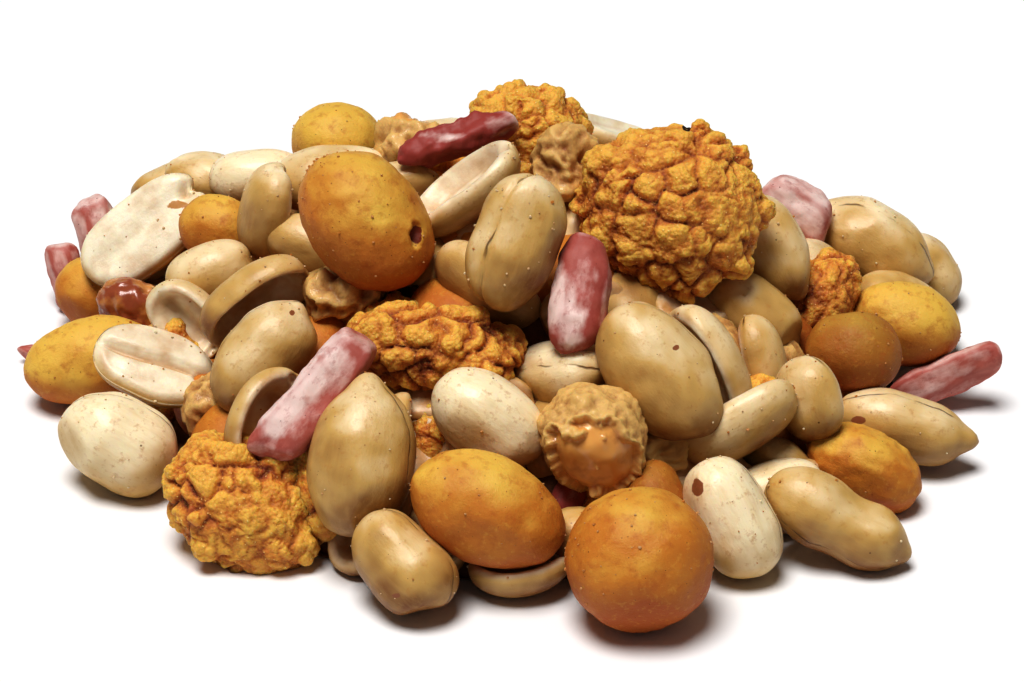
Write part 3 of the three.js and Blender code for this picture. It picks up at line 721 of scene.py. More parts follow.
def half_shape(piece, options, draw):
    """A split half: a round back, and a flat or hollow split side with a rounded edge and a
    furrow. Its mark is 1 on the split side."""
    mesh = round_mesh(piece)
    x, y, z = mesh_points(mesh).T
    long, wide, thick = piece.semi
    plump = 2.3
    ring = plumped(x, plump)
    y = np.clip(y * ring, -1, 1)
    z = z * ring
    seed = draw(0, 90)
    chance = (draw(0.1, 0.6), draw(0, 0.1), draw(0.1, 0.4), draw(0.15, 0.3))
    cup, lobes, furrow_depth, furrow_width = FACES.get(piece.name, chance)
    # 0 at the edge to 1 in the middle, seen square to the split side
    inward = 1 - np.minimum((np.abs(y) ** plump + np.abs(x) ** plump) ** (1 / plump), 1)
    rim = (0.4 if piece.name == "half_dark" else 1.0) * options.rim_width / MM / wide
    edge = np.sqrt(1 - (1 - np.minimum(inward / rim, 1)) ** 2)
    level = EDGE_LEVEL + (FACE_LEVEL - EDGE_LEVEL) * edge - lobes * (1 - inward) ** 2
    dish = cup * smooth_step(inward, 0.8 * rim, 0.8 * rim + 0.12 + 0.25 * cup)
    line = y - 0.06 * np.sin(3 * x + seed)
    furrow = bell(line, furrow_width) * (1 - np.abs(x) ** 5)
    notch = 0.5 * bell(x - 0.86, 0.1) * bell(y, 0.2)
    top = level - dish - furrow_depth * furrow - notch * edge
    back = EDGE_LEVEL + 1.5 * z
    wall = EDGE_LEVEL - 1.12 * z
    inner = z > 0
    height = np.where(inner, np.maximum(top, wall), back)
    points = np.stack([x * long, y * wide, height * thick], axis=1)
    swell = rough(points * (1, 1, 0), seed, (4.0, 0.14, 0))
    points[:, 2] += swell + rough(points, seed, (1.5, 0.05, 3)) * inner
    points[:, 1] *= 1 + 0.05 * noise_at(points * (1, 0, 0), 4.0, seed + 7)
    parting = 0.14 if piece.name in ("half_face", "half_left") else 0.03
    points[:, 0] -= parting * long * bell(y, 0.18) * smooth_step(x, 0.4, 1)
    points[:, 1] += draw(-0.35, 0.35) * (x * x - 0.4)
    set_points(mesh, points)
    return mesh, np.where(inner, smooth_step(inward, 0.01, 0.12), 0.0)


# How much longer some coated peanuts stayed in the oil, as a share.
OVERDONE = {"ball_brown_right": 0.55, "ball_small_front": 0.5}


def coated_shape(piece, options, draw):
    """A peanut in a fried coat: a smooth egg with shallow dents, small pocks and a fine grain.
    Its mark is how overdone it is."""
    mesh = round_mesh(piece)
    ball = flattened(mesh_points(mesh), draw, 0.84, 0.6)
    points = ball * piece.semi
    out = outwards(ball, piece.semi)
    seed = draw(0, 90)
    dent = options.dent_depth / MM
    move = rough(points, seed, (5.0, dent, 0), (2.0, 0.5 * dent, 3), (0.8, options.grain / MM, 6))
    if piece.name == "ball_crag_right":
        move += 0.3 * np.abs(noise_at(points, 1.7, seed + 8)) + rough(points, seed, (0.8, 0.12, 0))
    if piece.name == "egg_big":
        # a burst blister shows the dark inside
        inside = spotted(piece, points, out, seed)
        hole = smooth_step(inside, -0.12, 0.45)
        move += 0.08 * bell(inside + 0.16, 0.12) - 0.9 * hole
    set_points(mesh, points + out * move[:, None])
    return mesh, np.full(len(points), OVERDONE.get(piece.name, 0))


def spiral_direction(number, count):
    """Directions spread evenly over a ball."""
    z = 1 - 2 * (number + 0.5) / count
    ring = math.sqrt(1 - z * z)
    turn = GOLDEN_TURN * number
    return Vector((ring * math.cos(turn), ring * math.sin(turn), z))


def remeshed(bm, voxel):
    """The outer skin of overlapping closed shapes, as one mesh of faces about voxel wide."""
    mesh = as_mesh(bm, "clump")
    holder = placed("clump", mesh)
    remesh = holder.modifiers.new("skin", "REMESH")
    remesh.mode = "VOXEL"
    remesh.voxel_size = voxel
    graph = bpy.context.evaluated_depsgraph_get()
    skin = bpy.data.meshes.new_from_object(holder.evaluated_get(graph))
    bpy.data.objects.remove(holder)
    bpy.data.meshes.remove(mesh)
    return skin


def any_turn(draw):
    about_x, about_z = (Matrix.Rotation(draw(0, FULL_TURN), 4, axis) for axis in "XZ")
    return about_x @ about_z


def add_crumbs(bm, semi, sizes, proud, draw):
    """Lumpy crumbs, in a loose spiral all round an ellipsoid, each standing proud of it by an
    amount drawn between a least and a most (mm)."""
    least, most = sizes
    skin = 4 * math.pi * semi.prod() ** (2 / 3)
    count = round(CROWDING * skin / ((least + most) / 2) ** 2)
    for number in range(count):
        stray = Vector((draw(-1, 1), draw(-1, 1), draw(-1, 1))) * 2.2 / math.sqrt(count)
        direction = (spiral_direction(number, count) + stray).normalized()
        half = (least + (most - least) * draw() ** 1.2) / 2
        seat = Vector(direction * Vector(semi)) - direction * (half - draw(*proud))
        stretch = Matrix.Diagonal((draw(0.95, 1.35), 1, draw(0.75, 0.95), 1)) * half
        stretch[3][3] = 1
        place = Matrix.Translation(seat) @ any_turn(draw) @ stretch
        bmesh.ops.create_icosphere(bm, subdivisions=1 + number % 2, radius=1.04, matrix=place)


# How much of a cluster's skin its crumbs would cover, laid out side by side.
CROWDING = 0.8
# The grit on a cluster: how much finer than its option each layer is, and its height (mm).
GRIT = ((0.55, 0.16), (1, 0.12), (1.7, 0.06))


def crumbled(points, size, seed):
    """Rounded lumps about size across (mm), from 0 in the narrow creases between to 1 on top."""
    near = [noise.voronoi(p)[0] for p in (points / size + seed).tolist()]
    gap = np.array([second - first for first, second, *_ in near])
    return 1 - (1 - np.minimum(gap / 0.55, 1)) ** 2


def cracker_shape(piece, options, draw):
    """A cluster of fried crumbs melted together: round lumps, narrow creases and grit. Its mark
    is 1 down in the creases."""
    # crumbs and lumps shrink with the smallest clusters
    small = min(1.0, piece.semi[0] / 7)
    lumps = np.array((options.crumb_middling, options.crumb_most)) / MM * small
    bm = bmesh.new()
    body = Matrix.Diagonal((*(piece.semi * 0.9), 1))
    bmesh.ops.create_icosphere(bm, subdivisions=4, radius=1, matrix=body)
    add_crumbs(bm, piece.semi, lumps, (-0.4 * small, 0.5 * small), draw)
    spacing = face_width(piece, options.crumb_face / MM)
    mesh = remeshed(bm, spacing)
    edges = values_of(mesh.edges, "vertices", 2, np.int32)
    points = relaxed(mesh_points(mesh), edges, round(0.12 / spacing**2))
    set_points(mesh, points)
    normals = mesh_normals(mesh)
    seed = draw(0, 90)
    bent = warped(points, 2.2, 1.2, seed)
    # some of a cluster is lumpy, the rest finer and sandy
    lumpy = small * (0.2 + 0.8 * smooth_step(noise_at(points, 7.0, seed + 9), -0.35, 0.3))
    large = crumbled(bent, 3.4, seed)
    fine = crumbled(bent, 1.4, seed + 5)
    move = lumpy * (0.9 * large - 0.5) + 0.26 * small * fine
    for finer, height in GRIT:
        grit = options.crumb_least / MM / finer
        move += rough(points, seed, (grit, height, 3 * finer))
    set_points(mesh, points + normals * move[:, None])
    return mesh, np.maximum(lumpy * (1 - large), 0.5 * (1 - fine)) ** 1.5


# How much a stick narrows to its two ends; the first is its left or lower end in the view.
ENDS = {"stick_mid": (0.42, 0.4), "stick_dark": (0.2, 0.1), "stick_front": (0.15, 0.05)}
# How much softer the edges of some sticks are.
SOFTER = {"stick_mid": 0.6, "stick_dark": 0.6, "stick_right_back": 0.7}


def stick_shape(piece, options, draw):
    """A rough rod with flattish, uneven sides and blunt, slanting ends. Its mark is 1 along the
    edges between its sides."""
    mesh = round_mesh(piece)
    ball = mesh_points(mesh)
    sides = 5 if piece.semi[1] > 1.2 * piece.semi[2] else 6
    start = draw(75, 105)
    planes = []
    for side in range(sides):
        angle = math.radians(start + 360 * side / sides + draw(-14, 14))
        tilt = draw(-0.2, 0.2)
        planes.append(((tilt, math.cos(angle), math.sin(angle)), draw(0.74, 0.86)))
    for end in (-1, 1):
        planes.append(((end, draw(-0.2, 0.2), draw(-0.2, 0.2)), draw(0.84, 0.92)))
    sharp = options.edge_sharpness * SOFTER.get(piece.name, 1)
    powers = np.array([
        np.maximum(ball @ np.array(normal) / reach, 0) ** sharp for normal, reach in planes
    ])
    total = powers.sum(axis=0)
    points = ball * (total ** (-1 / sharp))[:, None] * piece.semi
    out = outwards(points, piece.semi**2)
    along = points[:, :1] / piece.semi[0]
    near_end, far_end = ENDS.get(piece.name, (0.25, 0.25))
    points[:, 1:] *= 1 - np.where(along < 0, near_end, far_end) * np.abs(along) ** 4
    seed = draw(0, 90)
    knobbly = 2.5 if piece.name == "stick_dark" else 1.0
    move = rough(points * (0.7, 1, 1), seed, (2.2, 0.26, 0))
    move = move + rough(points, seed, (1.1, 0.15, 3), (0.5, 0.05, 5))
    points = points + out * (knobbly * move)[:, None]
    points[:, 1] += draw(-0.4, 0.4) * ((points[:, 0] / piece.semi[0]) ** 2 - 0.4)
    set_points(mesh, points)
    largest = powers.max(axis=0) / total
    return mesh, 1 - smooth_step(largest, 0.5, 0.85)


# Where a glazed nut shows bare through its coat, in its own axes; the others by chance.
BARE_SIDES = {"glazed_main": (0.5, -0.36, 0.78)}


def glazed_shape(piece, options, draw):
    """A sugar-glazed nut under a broken, craggy coat. Its mark is 1 on the coat."""
    bald = piece.shade < -0.9
    mesh = round_mesh(piece)
    ball = mesh_points(mesh)
    seed = draw(0, 90)
    nut = ball * piece.semi * 0.86
    bare = np.array(BARE_SIDES.get(piece.name, (draw(-1, 1), draw(-1, 1), draw(-1, -0.3))))
    ragged = rough(nut, seed, (3.0, 0.55, 0), (1.4, 0.3, 3), (0.45, 0.09, 6)) + ball @ unit(bare)
    coat = np.zeros(len(nut)) if bald else 1 - smooth_step(ragged, 0.6, 0.66)
    thickness = options.coat_thickness / MM
    bent = warped(nut, 1.8, 0.7, seed)
    crags = 0.8 * np.abs(noise_at(bent, 2.4, seed + 5))
    crags += 0.4 * np.abs(noise_at(bent, 1.1, seed + 7))
    gritty = rough(nut, seed, (0.7, 0.12, 2), (0.35, 0.08, 4))
    if piece.name == "glazed_main":
        lip = 0.5 * thickness * bell(ragged - 0.52, 0.09)
        move = coat * (thickness * (0.4 + 0.8 * crags) + gritty) + lip
        move += rough(nut, seed, (3.2, 0.5, 11), (1.4, 0.15, 13))
    else:
        # torn flakes stand up as ridges
        move = thickness * (1.3 - 2.4 * crags) + rough(nut, seed, (3.2, 1.1, 11)) + gritty
        if bald:
            move *= 0.4
    set_points(mesh, nut + outwards(ball, piece.semi) * move[:, None])
    return mesh, coat


def core_mesh():
    """The heap's own core: the mean surface, deeper, and rough with packed crumbs."""
    bm = bmesh.new()
    bmesh.ops.create_uvsphere(bm, u_segments=150, v_segments=90, radius=1)
    mesh = as_mesh(bm, "heap_core")
    points = mesh_points(mesh)
    depth = CORE_DEPTH + CORE_BELOW_PIECES
    reach = np.hypot(points[:, 0], points[:, 1])
    lift = (CREST - depth) * (1 - reach**FALL)
    crumbs = rough(points * HALF_WIDTH, 0, (4.0, 1.6, 0), (1.6, 0.8, 7))
    lift = np.maximum(lift + crumbs, 0.3)
    half_depth = np.where(points[:, 1] < 0, FRONT_DEPTH, BACK_DEPTH) - depth
    height = np.where(points[:, 2] > 0, lift, 0.2)
    spread = np.stack([
        points[:, 0] * (HALF_WIDTH - depth), points[:, 1] * half_depth, height
    ], axis=1)
    set_points(mesh, spread * MM)
    mesh.shade_smooth()
    return mesh


# ---- finishes
def linear(hex_colour):
    """An sRGB hex colour as the linear red, green, blue and alpha that Blender works in."""
    shares = [int(hex_colour[start:start + 2], 16) / 255 for start in (1, 3, 5)]
    return (
        *(s / 12.92 if s <= 0.04045 else ((s + 0.055) / 1.055) ** 2.4 for s in shares), 1.0,
    )


def add_node(tree, kind, settings=None, inputs=None, output=0):
    """Adds a node with its settings, and its inputs either linked or given a value. Gives back
    one of its outputs."""
    node = tree.nodes.new("ShaderNode" + kind)
    for key, value in (settings or {}).items():
        setattr(node, key, value)
    for key, value in (inputs or {}).items():
        if isinstance(value, bpy.types.NodeSocket):
            tree.links.new(value, node.inputs[key])
        else:
            node.inputs[key].default_value = value
    return node.outputs[output] if node.outputs else None


PRINCIPLED = {
    "roughness": "Roughness", "specular": "Specular IOR Level", "normal": "Normal",
    "subsurface": "Subsurface Weight", "subsurface_scale": "Subsurface Scale",
    "subsurface_radius": "Subsurface Radius", "coat": "Coat Weight",
    "coat_roughness": "Coat Roughness",
}
# The Mix node's colour sockets, which share their names with its number sockets.
MIX_A, MIX_B, MIX_RESULT = 6, 7, 2
COLOUR_MIX = {"data_type": "RGBA"}
MULTIPLY_ADD = {"operation": "MULTIPLY_ADD"}
MULTIPLY = {"operation": "MULTIPLY"}


def sized(place, size, detail=2.0, roughness=0.5):
    """What a noise takes for patches about as wide as size, in the unit that place is in."""
    return {"Vector": place, "Scale": 1 / size, "Detail": detail, "Roughness": roughness}


class Finish:
    """A material as it is built up: its nodes, what its pieces' attributes give, and its colour
    so far. Patterns are given in millimetres of the piece's own axes."""

    def __init__(self, name, marks=Batch.MARKS):
        self.material = bpy.data.materials.new(name)
        self.material.use_nodes = True
        self.material.node_tree.nodes.clear()
        self.add = partial(add_node, self.material.node_tree)
        self.read = {
            key: self.add(
                "Attribute", {"attribute_name": key}, None, "Vector" if key == "place" else "Fac"
            )
            for key in marks
        }

    def total(self, start, **shares):
        """A value with a share of each of some attributes added."""
        for key, share in shares.items():
            start = self.add("Math", MULTIPLY_ADD, {0: self.read[key], 1: share, 2: start})
        return start

    def tone(self, value, least, most, middle, colours):
        """Starts the colour: through three, the second at the middle, as a value rises."""
        rise = self.add("MapRange", None, {"Value": value, "From Min": least, "From Max": most})
        self.colour = self.add("ValToRGB", None, {"Fac": rise})
        stops = self.colour.node.color_ramp.elements
        stops[0].color, second, stops[1].color = colours
        stops.new(middle).color = second

    def lay(self, colour, value, least=0.0, most=1.0, top=1.0):
        """Lays a colour over the one so far: none at the least of a value, top at its most."""
        share = self.add("MapRange", None, {
            "Value": value, "From Min": least, "From Max": most, "To Max": top})
        self.colour = self.add("Mix", COLOUR_MIX, {
            0: share, MIX_A: self.colour, MIX_B: colour}, MIX_RESULT)

    def patches(self, colour, least, most, top, size, detail, roughness, place=None):
        """Lays on ragged patches of a colour, and gives back the noise that they follow."""
        inputs = sized(place or self.read["place"], size, detail, roughness)
        ragged = self.add("TexNoise", None, inputs)
        self.lay(colour, ragged, least, most, top)
        return ragged

    def specks(self, colour, spacing, radius, share):
        """Lays on small round specks, in a share of the cells, which are about as wide as the
        spacing (mm)."""
        cells = self.add("TexVoronoi", None, {"Vector": self.read["place"], "Scale": 1 / spacing})
        near = self.add("MapRange", None, {
            "Value": cells, "From Min": radius / spacing, "From Max": 0.5 * radius / spacing})
        some = self.add("MapRange", None, {
            "Value": cells.node.outputs["Color"], "From Min": 1 - share, "From Max": 1.02 - share})
        self.lay(colour, self.add("Math", MULTIPLY, {0: near, 1: some}))

    def done(self, height=None, relief=0.0, **sockets):
        """The material, with its colour, the relief of a height and the shader's own sockets."""
        if height is not None:
            sockets["normal"] = self.add("Bump", None, {
                "Height": height, "Strength": 1.0, "Distance": relief})
        if "subsurface" in sockets:
            sockets["subsurface_scale"] = MM
        inputs = {PRINCIPLED[key]: value for key, value in sockets.items()}
        surface = self.add("BsdfPrincipled", None, {"Base Color": self.colour, **inputs})
        self.add("OutputMaterial", None, {"Surface": surface})
        return self.material


# How far in from its edge a spot reaches its full colour, as a share.
SPOT_EDGE = 0.12


def blanched(finish, options):
    """Lays on the skin of a blanched kernel, and gives back the height of its grain."""
    place = finish.read["place"]
    roast = finish.add("TexNoise", None, sized(place, 5.0))
    # painted shade: the skin darkens towards toasted on the undersides; shade and the noise give
    # each kernel's own roast
    finish.tone(
        finish.total(roast, under=-0.75, shade=0.36), least=-0.2, most=0.66, middle=0.5,
        colours=(options.toasted, options.golden, options.cream),
    )
    drawn_out = finish.add("Mapping", None, {"Vector": place, "Scale": (0.2, 1, 1)})
    streak = finish.patches(
        options.golden, 0.48, 0.8, top=0.4, size=1.0, detail=3.0, roughness=0.65, place=drawn_out,
    )
    mottle = finish.patches(
        options.inner_toasted, 0.56, 0.8, top=0.7, size=0.9, detail=3.0, roughness=0.7,
    )
    finish.specks(options.speck, spacing=1.9, radius=0.14, share=0.3)
    finish.specks(options.speck, spacing=0.8, radius=0.055, share=0.35)
    papery = finish.add("Mix", COLOUR_MIX, {
        0: mottle, MIX_A: options.skin, MIX_B: options.toasted}, MIX_RESULT)
    finish.lay(papery, finish.read["spot"], 0.0, SPOT_EDGE)
    return finish.add("Math", MULTIPLY_ADD, {0: streak, 1: 1.0, 2: mottle})


# A peanut, outside and inside: satin, faintly oily and a little translucent.
PEANUT_FLESH = {
    "roughness": 0.44, "specular": 0.45, "subsurface": 0.22, "subsurface_radius": (1.3, 0.7, 0.3),
    "coat": 0.14, "coat_roughness": 0.2,
}


def kernel_finish(options):
    """Blanched peanut, oil-roasted: an even satin skin, a little translucent, cream above and
    darker towards toasted beneath, which is painted shade, with faint lengthwise streaks, specks of
    seasoning and a hairline seam."""
    finish = Finish("roasted_peanut")
    place = finish.read["place"]
    grain = blanched(finish, options)
    wander = finish.add("TexNoise", None, sized(place, 2.6))
    strayed = finish.total(wander, mark=1.0)
    aside = finish.add("Math", {"operation": "SUBTRACT"}, {0: strayed, 1: 0.5})
    away = finish.add("Math", {"operation": "ABSOLUTE"}, {0: aside})
    line = finish.add("MapRange", None, {
        "Value": away, "From Min": options.seam_width / MM, "From Max": 0.02})
    broken = finish.add("TexNoise", None, sized(place, 3.2))
    shown = finish.add("MapRange", None, {"Value": broken, "From Min": 0.42, "From Max": 0.56})
    cut = finish.add("Math", MULTIPLY, {0: line, 1: shown})
    finish.lay(options.seam, cut, top=0.75)
    height = finish.add("Math", MULTIPLY_ADD, {0: cut, 1: -2.0, 2: grain})
    return finish.done(height, options.skin_relief, **PEANUT_FLESH)


def half_finish(options):
    """Split peanut: the same skin on its back, and a paler, drier split side that is browner
    down in its hollow and in its furrow, which is painted shade."""
    finish = Finish("split_peanut")
    place = finish.read["place"]
    grain = blanched(finish, options)
    skin = finish.colour
    mottle = finish.add("TexNoise", None, sized(place, 2.5, 4.0))
    finish.colour = options.inner_toasted
    finish.lay(options.inner_cream, finish.total(mottle, shade=0.3), 0.1, 0.72)
    finish.specks(options.speck, spacing=1.5, radius=0.09, share=0.3)
    split_side = finish.colour
    finish.colour = skin
    finish.lay(split_side, finish.read["mark"])
    # painted shade: browner down in the split side's hollow and furrow
    finish.lay(options.inner_toasted, finish.read["hollow"], 0.08, 0.5, 0.6)
    finish.lay(options.inner_toasted, finish.read["spot"], 0.0, SPOT_EDGE)
    return finish.done(grain, options.skin_relief, **PEANUT_FLESH)


def coated_finish(options):
    """Peanut in a fried, seasoned batter: matt amber above and orange to red-brown lower down,
    which is painted shade, with blotches, dark specks of spice and a fine grain."""
    finish = Finish("fried_coating")
    place = finish.read["place"]
    broad = finish.add("TexNoise", None, sized(place, 5.0))
    # painted shade: the batter runs from amber on top to browned underneath; shade gives each
    # piece's own roast
    finish.tone(
        finish.total(broad, under=-1.1, shade=0.5), least=-0.4, most=0.6, middle=0.6,
        colours=(options.browned, options.orange, options.amber),
    )
    finish.lay(options.overdone, finish.read["mark"])
    finish.patches(options.browned, 0.52, 0.74, top=0.6, size=1.2, detail=4.0, roughness=0.65)
    finish.patches(options.amber, 0.55, 0.8, top=0.5, size=0.7, detail=4.0, roughness=0.7)
    finish.specks(options.spice, spacing=1.6, radius=0.11, share=0.3)
    finish.specks(options.spice, spacing=0.65, radius=0.06, share=0.4)
    finish.lay(options.burst, finish.read["spot"], 0.0, SPOT_EDGE)
    grain = finish.add("TexNoise", None, sized(place, 0.45, 3.0, 0.75))
    return finish.done(
        grain, options.fine_grain, roughness=0.52, specular=0.3, subsurface=0.15,
        subsurface_radius=(1.2, 0.5, 0.2),
    )


# The rice grit in the crust (mm).
GRIT_WIDTH = 0.42


def cracker_finish(options):
    """Fried rice-crumb crust: golden where crumbs stand out and red-brown down between them and
    underneath, which is painted shade; a little translucent, with a sandy grain and pale grains
    of sugar that are painted glints."""
    finish = Finish("fried_crumb_crust")
    place = finish.read["place"]
    mottle = finish.add("TexNoise", None, sized(place, 2.6, 3.0))
    # painted shade: the crust darkens to red-brown in its hollows, down its creases and underneath
    uneven = finish.add("Math", MULTIPLY_ADD, {0: mottle, 1: -1.3, 2: finish.read["hollow"]})
    finish.tone(
        finish.total(uneven, shade=-0.16, under=0.28, mark=0.34), least=-0.8, most=0.14,
        middle=0.4, colours=(options.golden, options.orange, options.crevice),
    )
    finish.colour.node.color_ramp.elements.new(0.76).color = options.browned
    sand = finish.patches(
        options.golden, 0.48, 0.72, top=0.5, size=0.35, detail=3.0, roughness=0.75,
    )
    finish.patches(options.browned, 0.56, 0.8, top=0.55, size=0.6, detail=3.0, roughness=0.7)
    # painted glints: pale specks on the grains
    finish.specks(options.sugar, spacing=GRIT_WIDTH, radius=0.1, share=0.3)
    finish.lay(options.char, finish.read["spot"], 0.0, SPOT_EDGE)
    grit = finish.add("TexVoronoi", None, {"Vector": place, "Scale": 1 / GRIT_WIDTH})
    height = finish.add("Math", MULTIPLY_ADD, {0: grit, 1: -1.6, 2: sand})
    return finish.done(
        height, options.sand_relief, roughness=0.55, specular=0.3, subsurface=0.45,
        subsurface_radius=(1.8, 0.8, 0.25),
    )


def stick_finish(options):
    """Dyed, dried rice stick: dusty salmon pink, whiter on its flat sides, less so underneath,
    which is painted shade, and crimson along its edges and veins."""
    finish = Finish("pink_rice_stick")
    place = finish.read["place"]
    finish.colour = options.crimson
    finish.lay(options.pink, finish.read["shade"], -1.0, 0.4)
    drawn_out = finish.add("Mapping", None, {"Vector": place, "Scale": (0.6, 1, 1)})
    dust = finish.add("TexNoise", None, sized(drawn_out, 2.6, 5.0, 0.6))
    # painted shade: less bloom and more crimson on the undersides
    dusty = finish.total(dust, mark=-0.2, shade=0.2, spot=0.34, under=-0.2)
    finish.lay(options.crimson, dusty, -0.2, -0.04, 0.4)
    finish.lay(options.bloom, dusty, 0.02, 0.4, 0.9)
    veins = finish.add("TexNoise", None, sized(drawn_out, 1.1, 4.0, 0.7))
    veined = finish.add("MapRange", None, {
        "Value": veins, "From Min": 0.54, "From Max": 0.78, "To Max": 0.7})
    finish.lay(options.crimson, finish.total(veined, mark=0.22))
    finish.specks(options.stain, spacing=0.8, radius=0.08, share=0.35)
    grain = finish.add("TexNoise", None, sized(place, 0.5, 5.0, 0.75))
    return finish.done(
        grain, options.roughness_depth, roughness=0.5, specular=0.4, subsurface=0.15,
        subsurface_radius=(1.2, 0.5, 0.4),
    )


def glazed_finish(options):
    """Peanut in boiled sugar under a broken, crumbly coat: glossy amber where it is bare, dry
    and tan on the coat; painted shade makes the coat browner down its cracks and round its edge
    and a little underneath."""
    finish = Finish("sugar_glaze")
    place = finish.read["place"]
    tint = finish.add("TexNoise", None, sized(place, 1.4, 4.0, 0.7))
    # painted shade: the coat browns in its hollows and cracks and underneath; shade gives each
    # nut's own roast
    crack = finish.add("Math", MULTIPLY_ADD, {0: tint, 1: 0.9, 2: finish.read["hollow"]})
    finish.colour = options.coat
    finish.lay(options.coat_browned, finish.total(crack, under=0.2, shade=-0.5), 0.4, 0.9)
    coat = finish.colour
    clouds = finish.add("TexNoise", None, sized(place, 2.2, 3.0))
    finish.colour = options.caramel
    finish.lay(options.amber, finish.total(clouds, shade=0.3), 0.15, 0.5)
    finish.lay(coat, finish.read["mark"])
    dry = finish.add("MapRange", None, {
        "Value": finish.read["mark"], "To Min": 0.24, "To Max": 0.55})
    grain = finish.add("TexNoise", None, sized(place, 0.4, 4.0, 0.7))
    raised = finish.add("Math", MULTIPLY, {0: grain, 1: finish.read["mark"]})
    return finish.done(
        raised, options.coat_grain, roughness=dry, specular=0.5, subsurface=0.2,
        subsurface_radius=(1.4, 0.6, 0.2), coat=0.15, coat_roughness=0.1,
    )


def core_finish(options):
    """The heap's core: dull and dark brown, which is painted shade deep down the gaps
    between the pieces.
    """
    finish = Finish("packed_crumbs", ())
    place = finish.add("TexCoord", output="Object")
    finish.colour = options.dark
    finish.lay(options.brown, finish.add("TexNoise", None, sized(place, 2.5 * MM, 4.0)))
    grain = finish.add("TexNoise", None, sized(place, 0.7 * MM, 4.0))
    return finish.done(grain, 0.2 * MM, roughness=0.75, specular=0.3)


def crumb_finish(options):
    """Grains of salt and fried crumb: cream to amber, a little translucent."""
    finish = Finish("salt_and_crumbs", ("shade",))
    finish.colour = options.crumb
    finish.lay(options.salt, finish.read["shade"])
    return finish.done(roughness=0.4, subsurface=0.3, subsurface_radius=(1.0, 0.7, 0.5))


def table_finish(options):
    """Matt white laminate: smooth and even, with a faint orange-peel moulded in."""
    finish = Finish("white_laminate", ())
    finish.colour = options.table
    peel = finish.add("TexNoise", None, sized(finish.add("TexCoord", output="Object"), 4 * MM))
    return finish.done(peel, 0.005 * MM, roughness=0.6, specular=0.2)


# ---- what a user would change
def length(name, description, millimetres, least=0.0):
    return FloatProperty(
        name=name, description=description, default=millimetres * MM, min=least * MM,
        unit="LENGTH", precision=5,
    )


def colour(name, description, hex_colour):
    return FloatVectorProperty(
        name=name, description=description, default=linear(hex_colour), size=4, min=0, max=1,
        subtype="COLOR",
    )


class PeanutOptions(bpy.types.PropertyGroup):
    seam_width: length("Seam width", "Half the width of the line between a kernel's halves", 0.16)
    seam_depth: length("Seam depth", "Depth of the valley between a kernel's two halves", 0.1)
    rim_width: length("Rim width", "Rounded edge of a half's split side", 0.8)
    skin_relief: length("Skin relief", "Height of the fine grain on the skin", 0.07)
    # Cream, golden and toasted also run from a kernel's top to its underside, which is painted
    # shade.
    cream: colour("Cream", "Palest skin", "#FBEBC8")
    golden: colour("Golden", "Middling skin", "#D5B06C")
    toasted: colour("Toasted", "Darkest skin", "#8E5A24")
    seam: colour("Seam", "Line between the halves", "#6B431F")
    speck: colour("Speck", "Seasoning on the skin", "#70461C")
    skin: colour("Skin", "Patches of red skin left on", "#A4644A")
    inner_cream: colour("Inner cream", "Palest inner face", "#F8EED4")
    # Inner toasted is also laid as painted shade down a half's hollow and furrow.
    inner_toasted: colour("Inner toasted", "Darkest inner face", "#C08A48")


class CoatedOptions(bpy.types.PropertyGroup):
    dent_depth: length("Dent depth", "Height of the shallow dents in the coat", 0.28)
    grain: length("Grain", "Height of the coat's grain", 0.05)
    fine_grain: length("Fine grain", "Height of its finest grain", 0.1)
    # Amber, orange and browned also run from a coated peanut's top to its underside, which is
    # painted shade.
    amber: colour("Amber", "Palest batter", "#E8C05C")
    orange: colour("Orange", "Middling batter", "#D08A38")
    browned: colour("Browned", "Batter browned by the oil", "#B6622A")
    overdone: colour("Overdone", "Batter that stayed longer in the oil", "#94622A")
    spice: colour("Spice", "Specks of spice", "#5B2A10")
    burst: colour("Burst", "Inside a burst blister", "#7A3014")


class CrackerOptions(bpy.types.PropertyGroup):
    crumb_face: length("Crumb face", "Width of the faces that a cluster is made of", 0.25, 0.15)
    crumb_least: length("Grit", "Grit on the crumbs", 0.8, 0.1)
    crumb_middling: length("Smallest crumb", "Smallest crumbs in a cluster", 2.2, 1.0)
    crumb_most: length("Largest crumb", "Largest crumbs in a cluster", 7.0, 1.0)
    sand_relief: length("Sand relief", "Height of the sandy grain", 0.11)
    # Golden to crevice also run from the crumbs' tops down between them and underneath, which is
    # painted shade.
    golden: colour("Golden", "Tops of the crumbs", "#EEBC5C")
    orange: colour("Orange", "Sides of the crumbs", "#D48A40")
    browned: colour("Browned", "Between the crumbs", "#A8582E")
    crevice: colour("Crevice", "Deep between the crumbs", "#74301C")
    # Sugar is laid as painted glints on the grains.
    sugar: colour("Sugar", "Pale grains in the crust", "#FADC94")
    char: colour("Char", "Burnt specks", "#2A1408")


class StickOptions(bpy.types.PropertyGroup):
    edge_sharpness: FloatProperty(
        name="Edge sharpness", description="How sharply the stick's faces meet", default=6.0,
        min=4.0, max=40.0,
    )
    roughness_depth: length("Roughness depth", "Height of the fine grain", 0.05)
    pink: colour("Pink", "Body of the stick", "#CE8272")
    bloom: colour("Bloom", "Dusty flat faces", "#F3DCD4")
    crimson: colour("Crimson", "Edges and veins", "#A2443C")
    stain: colour("Stain", "Dark specks", "#5E2018")


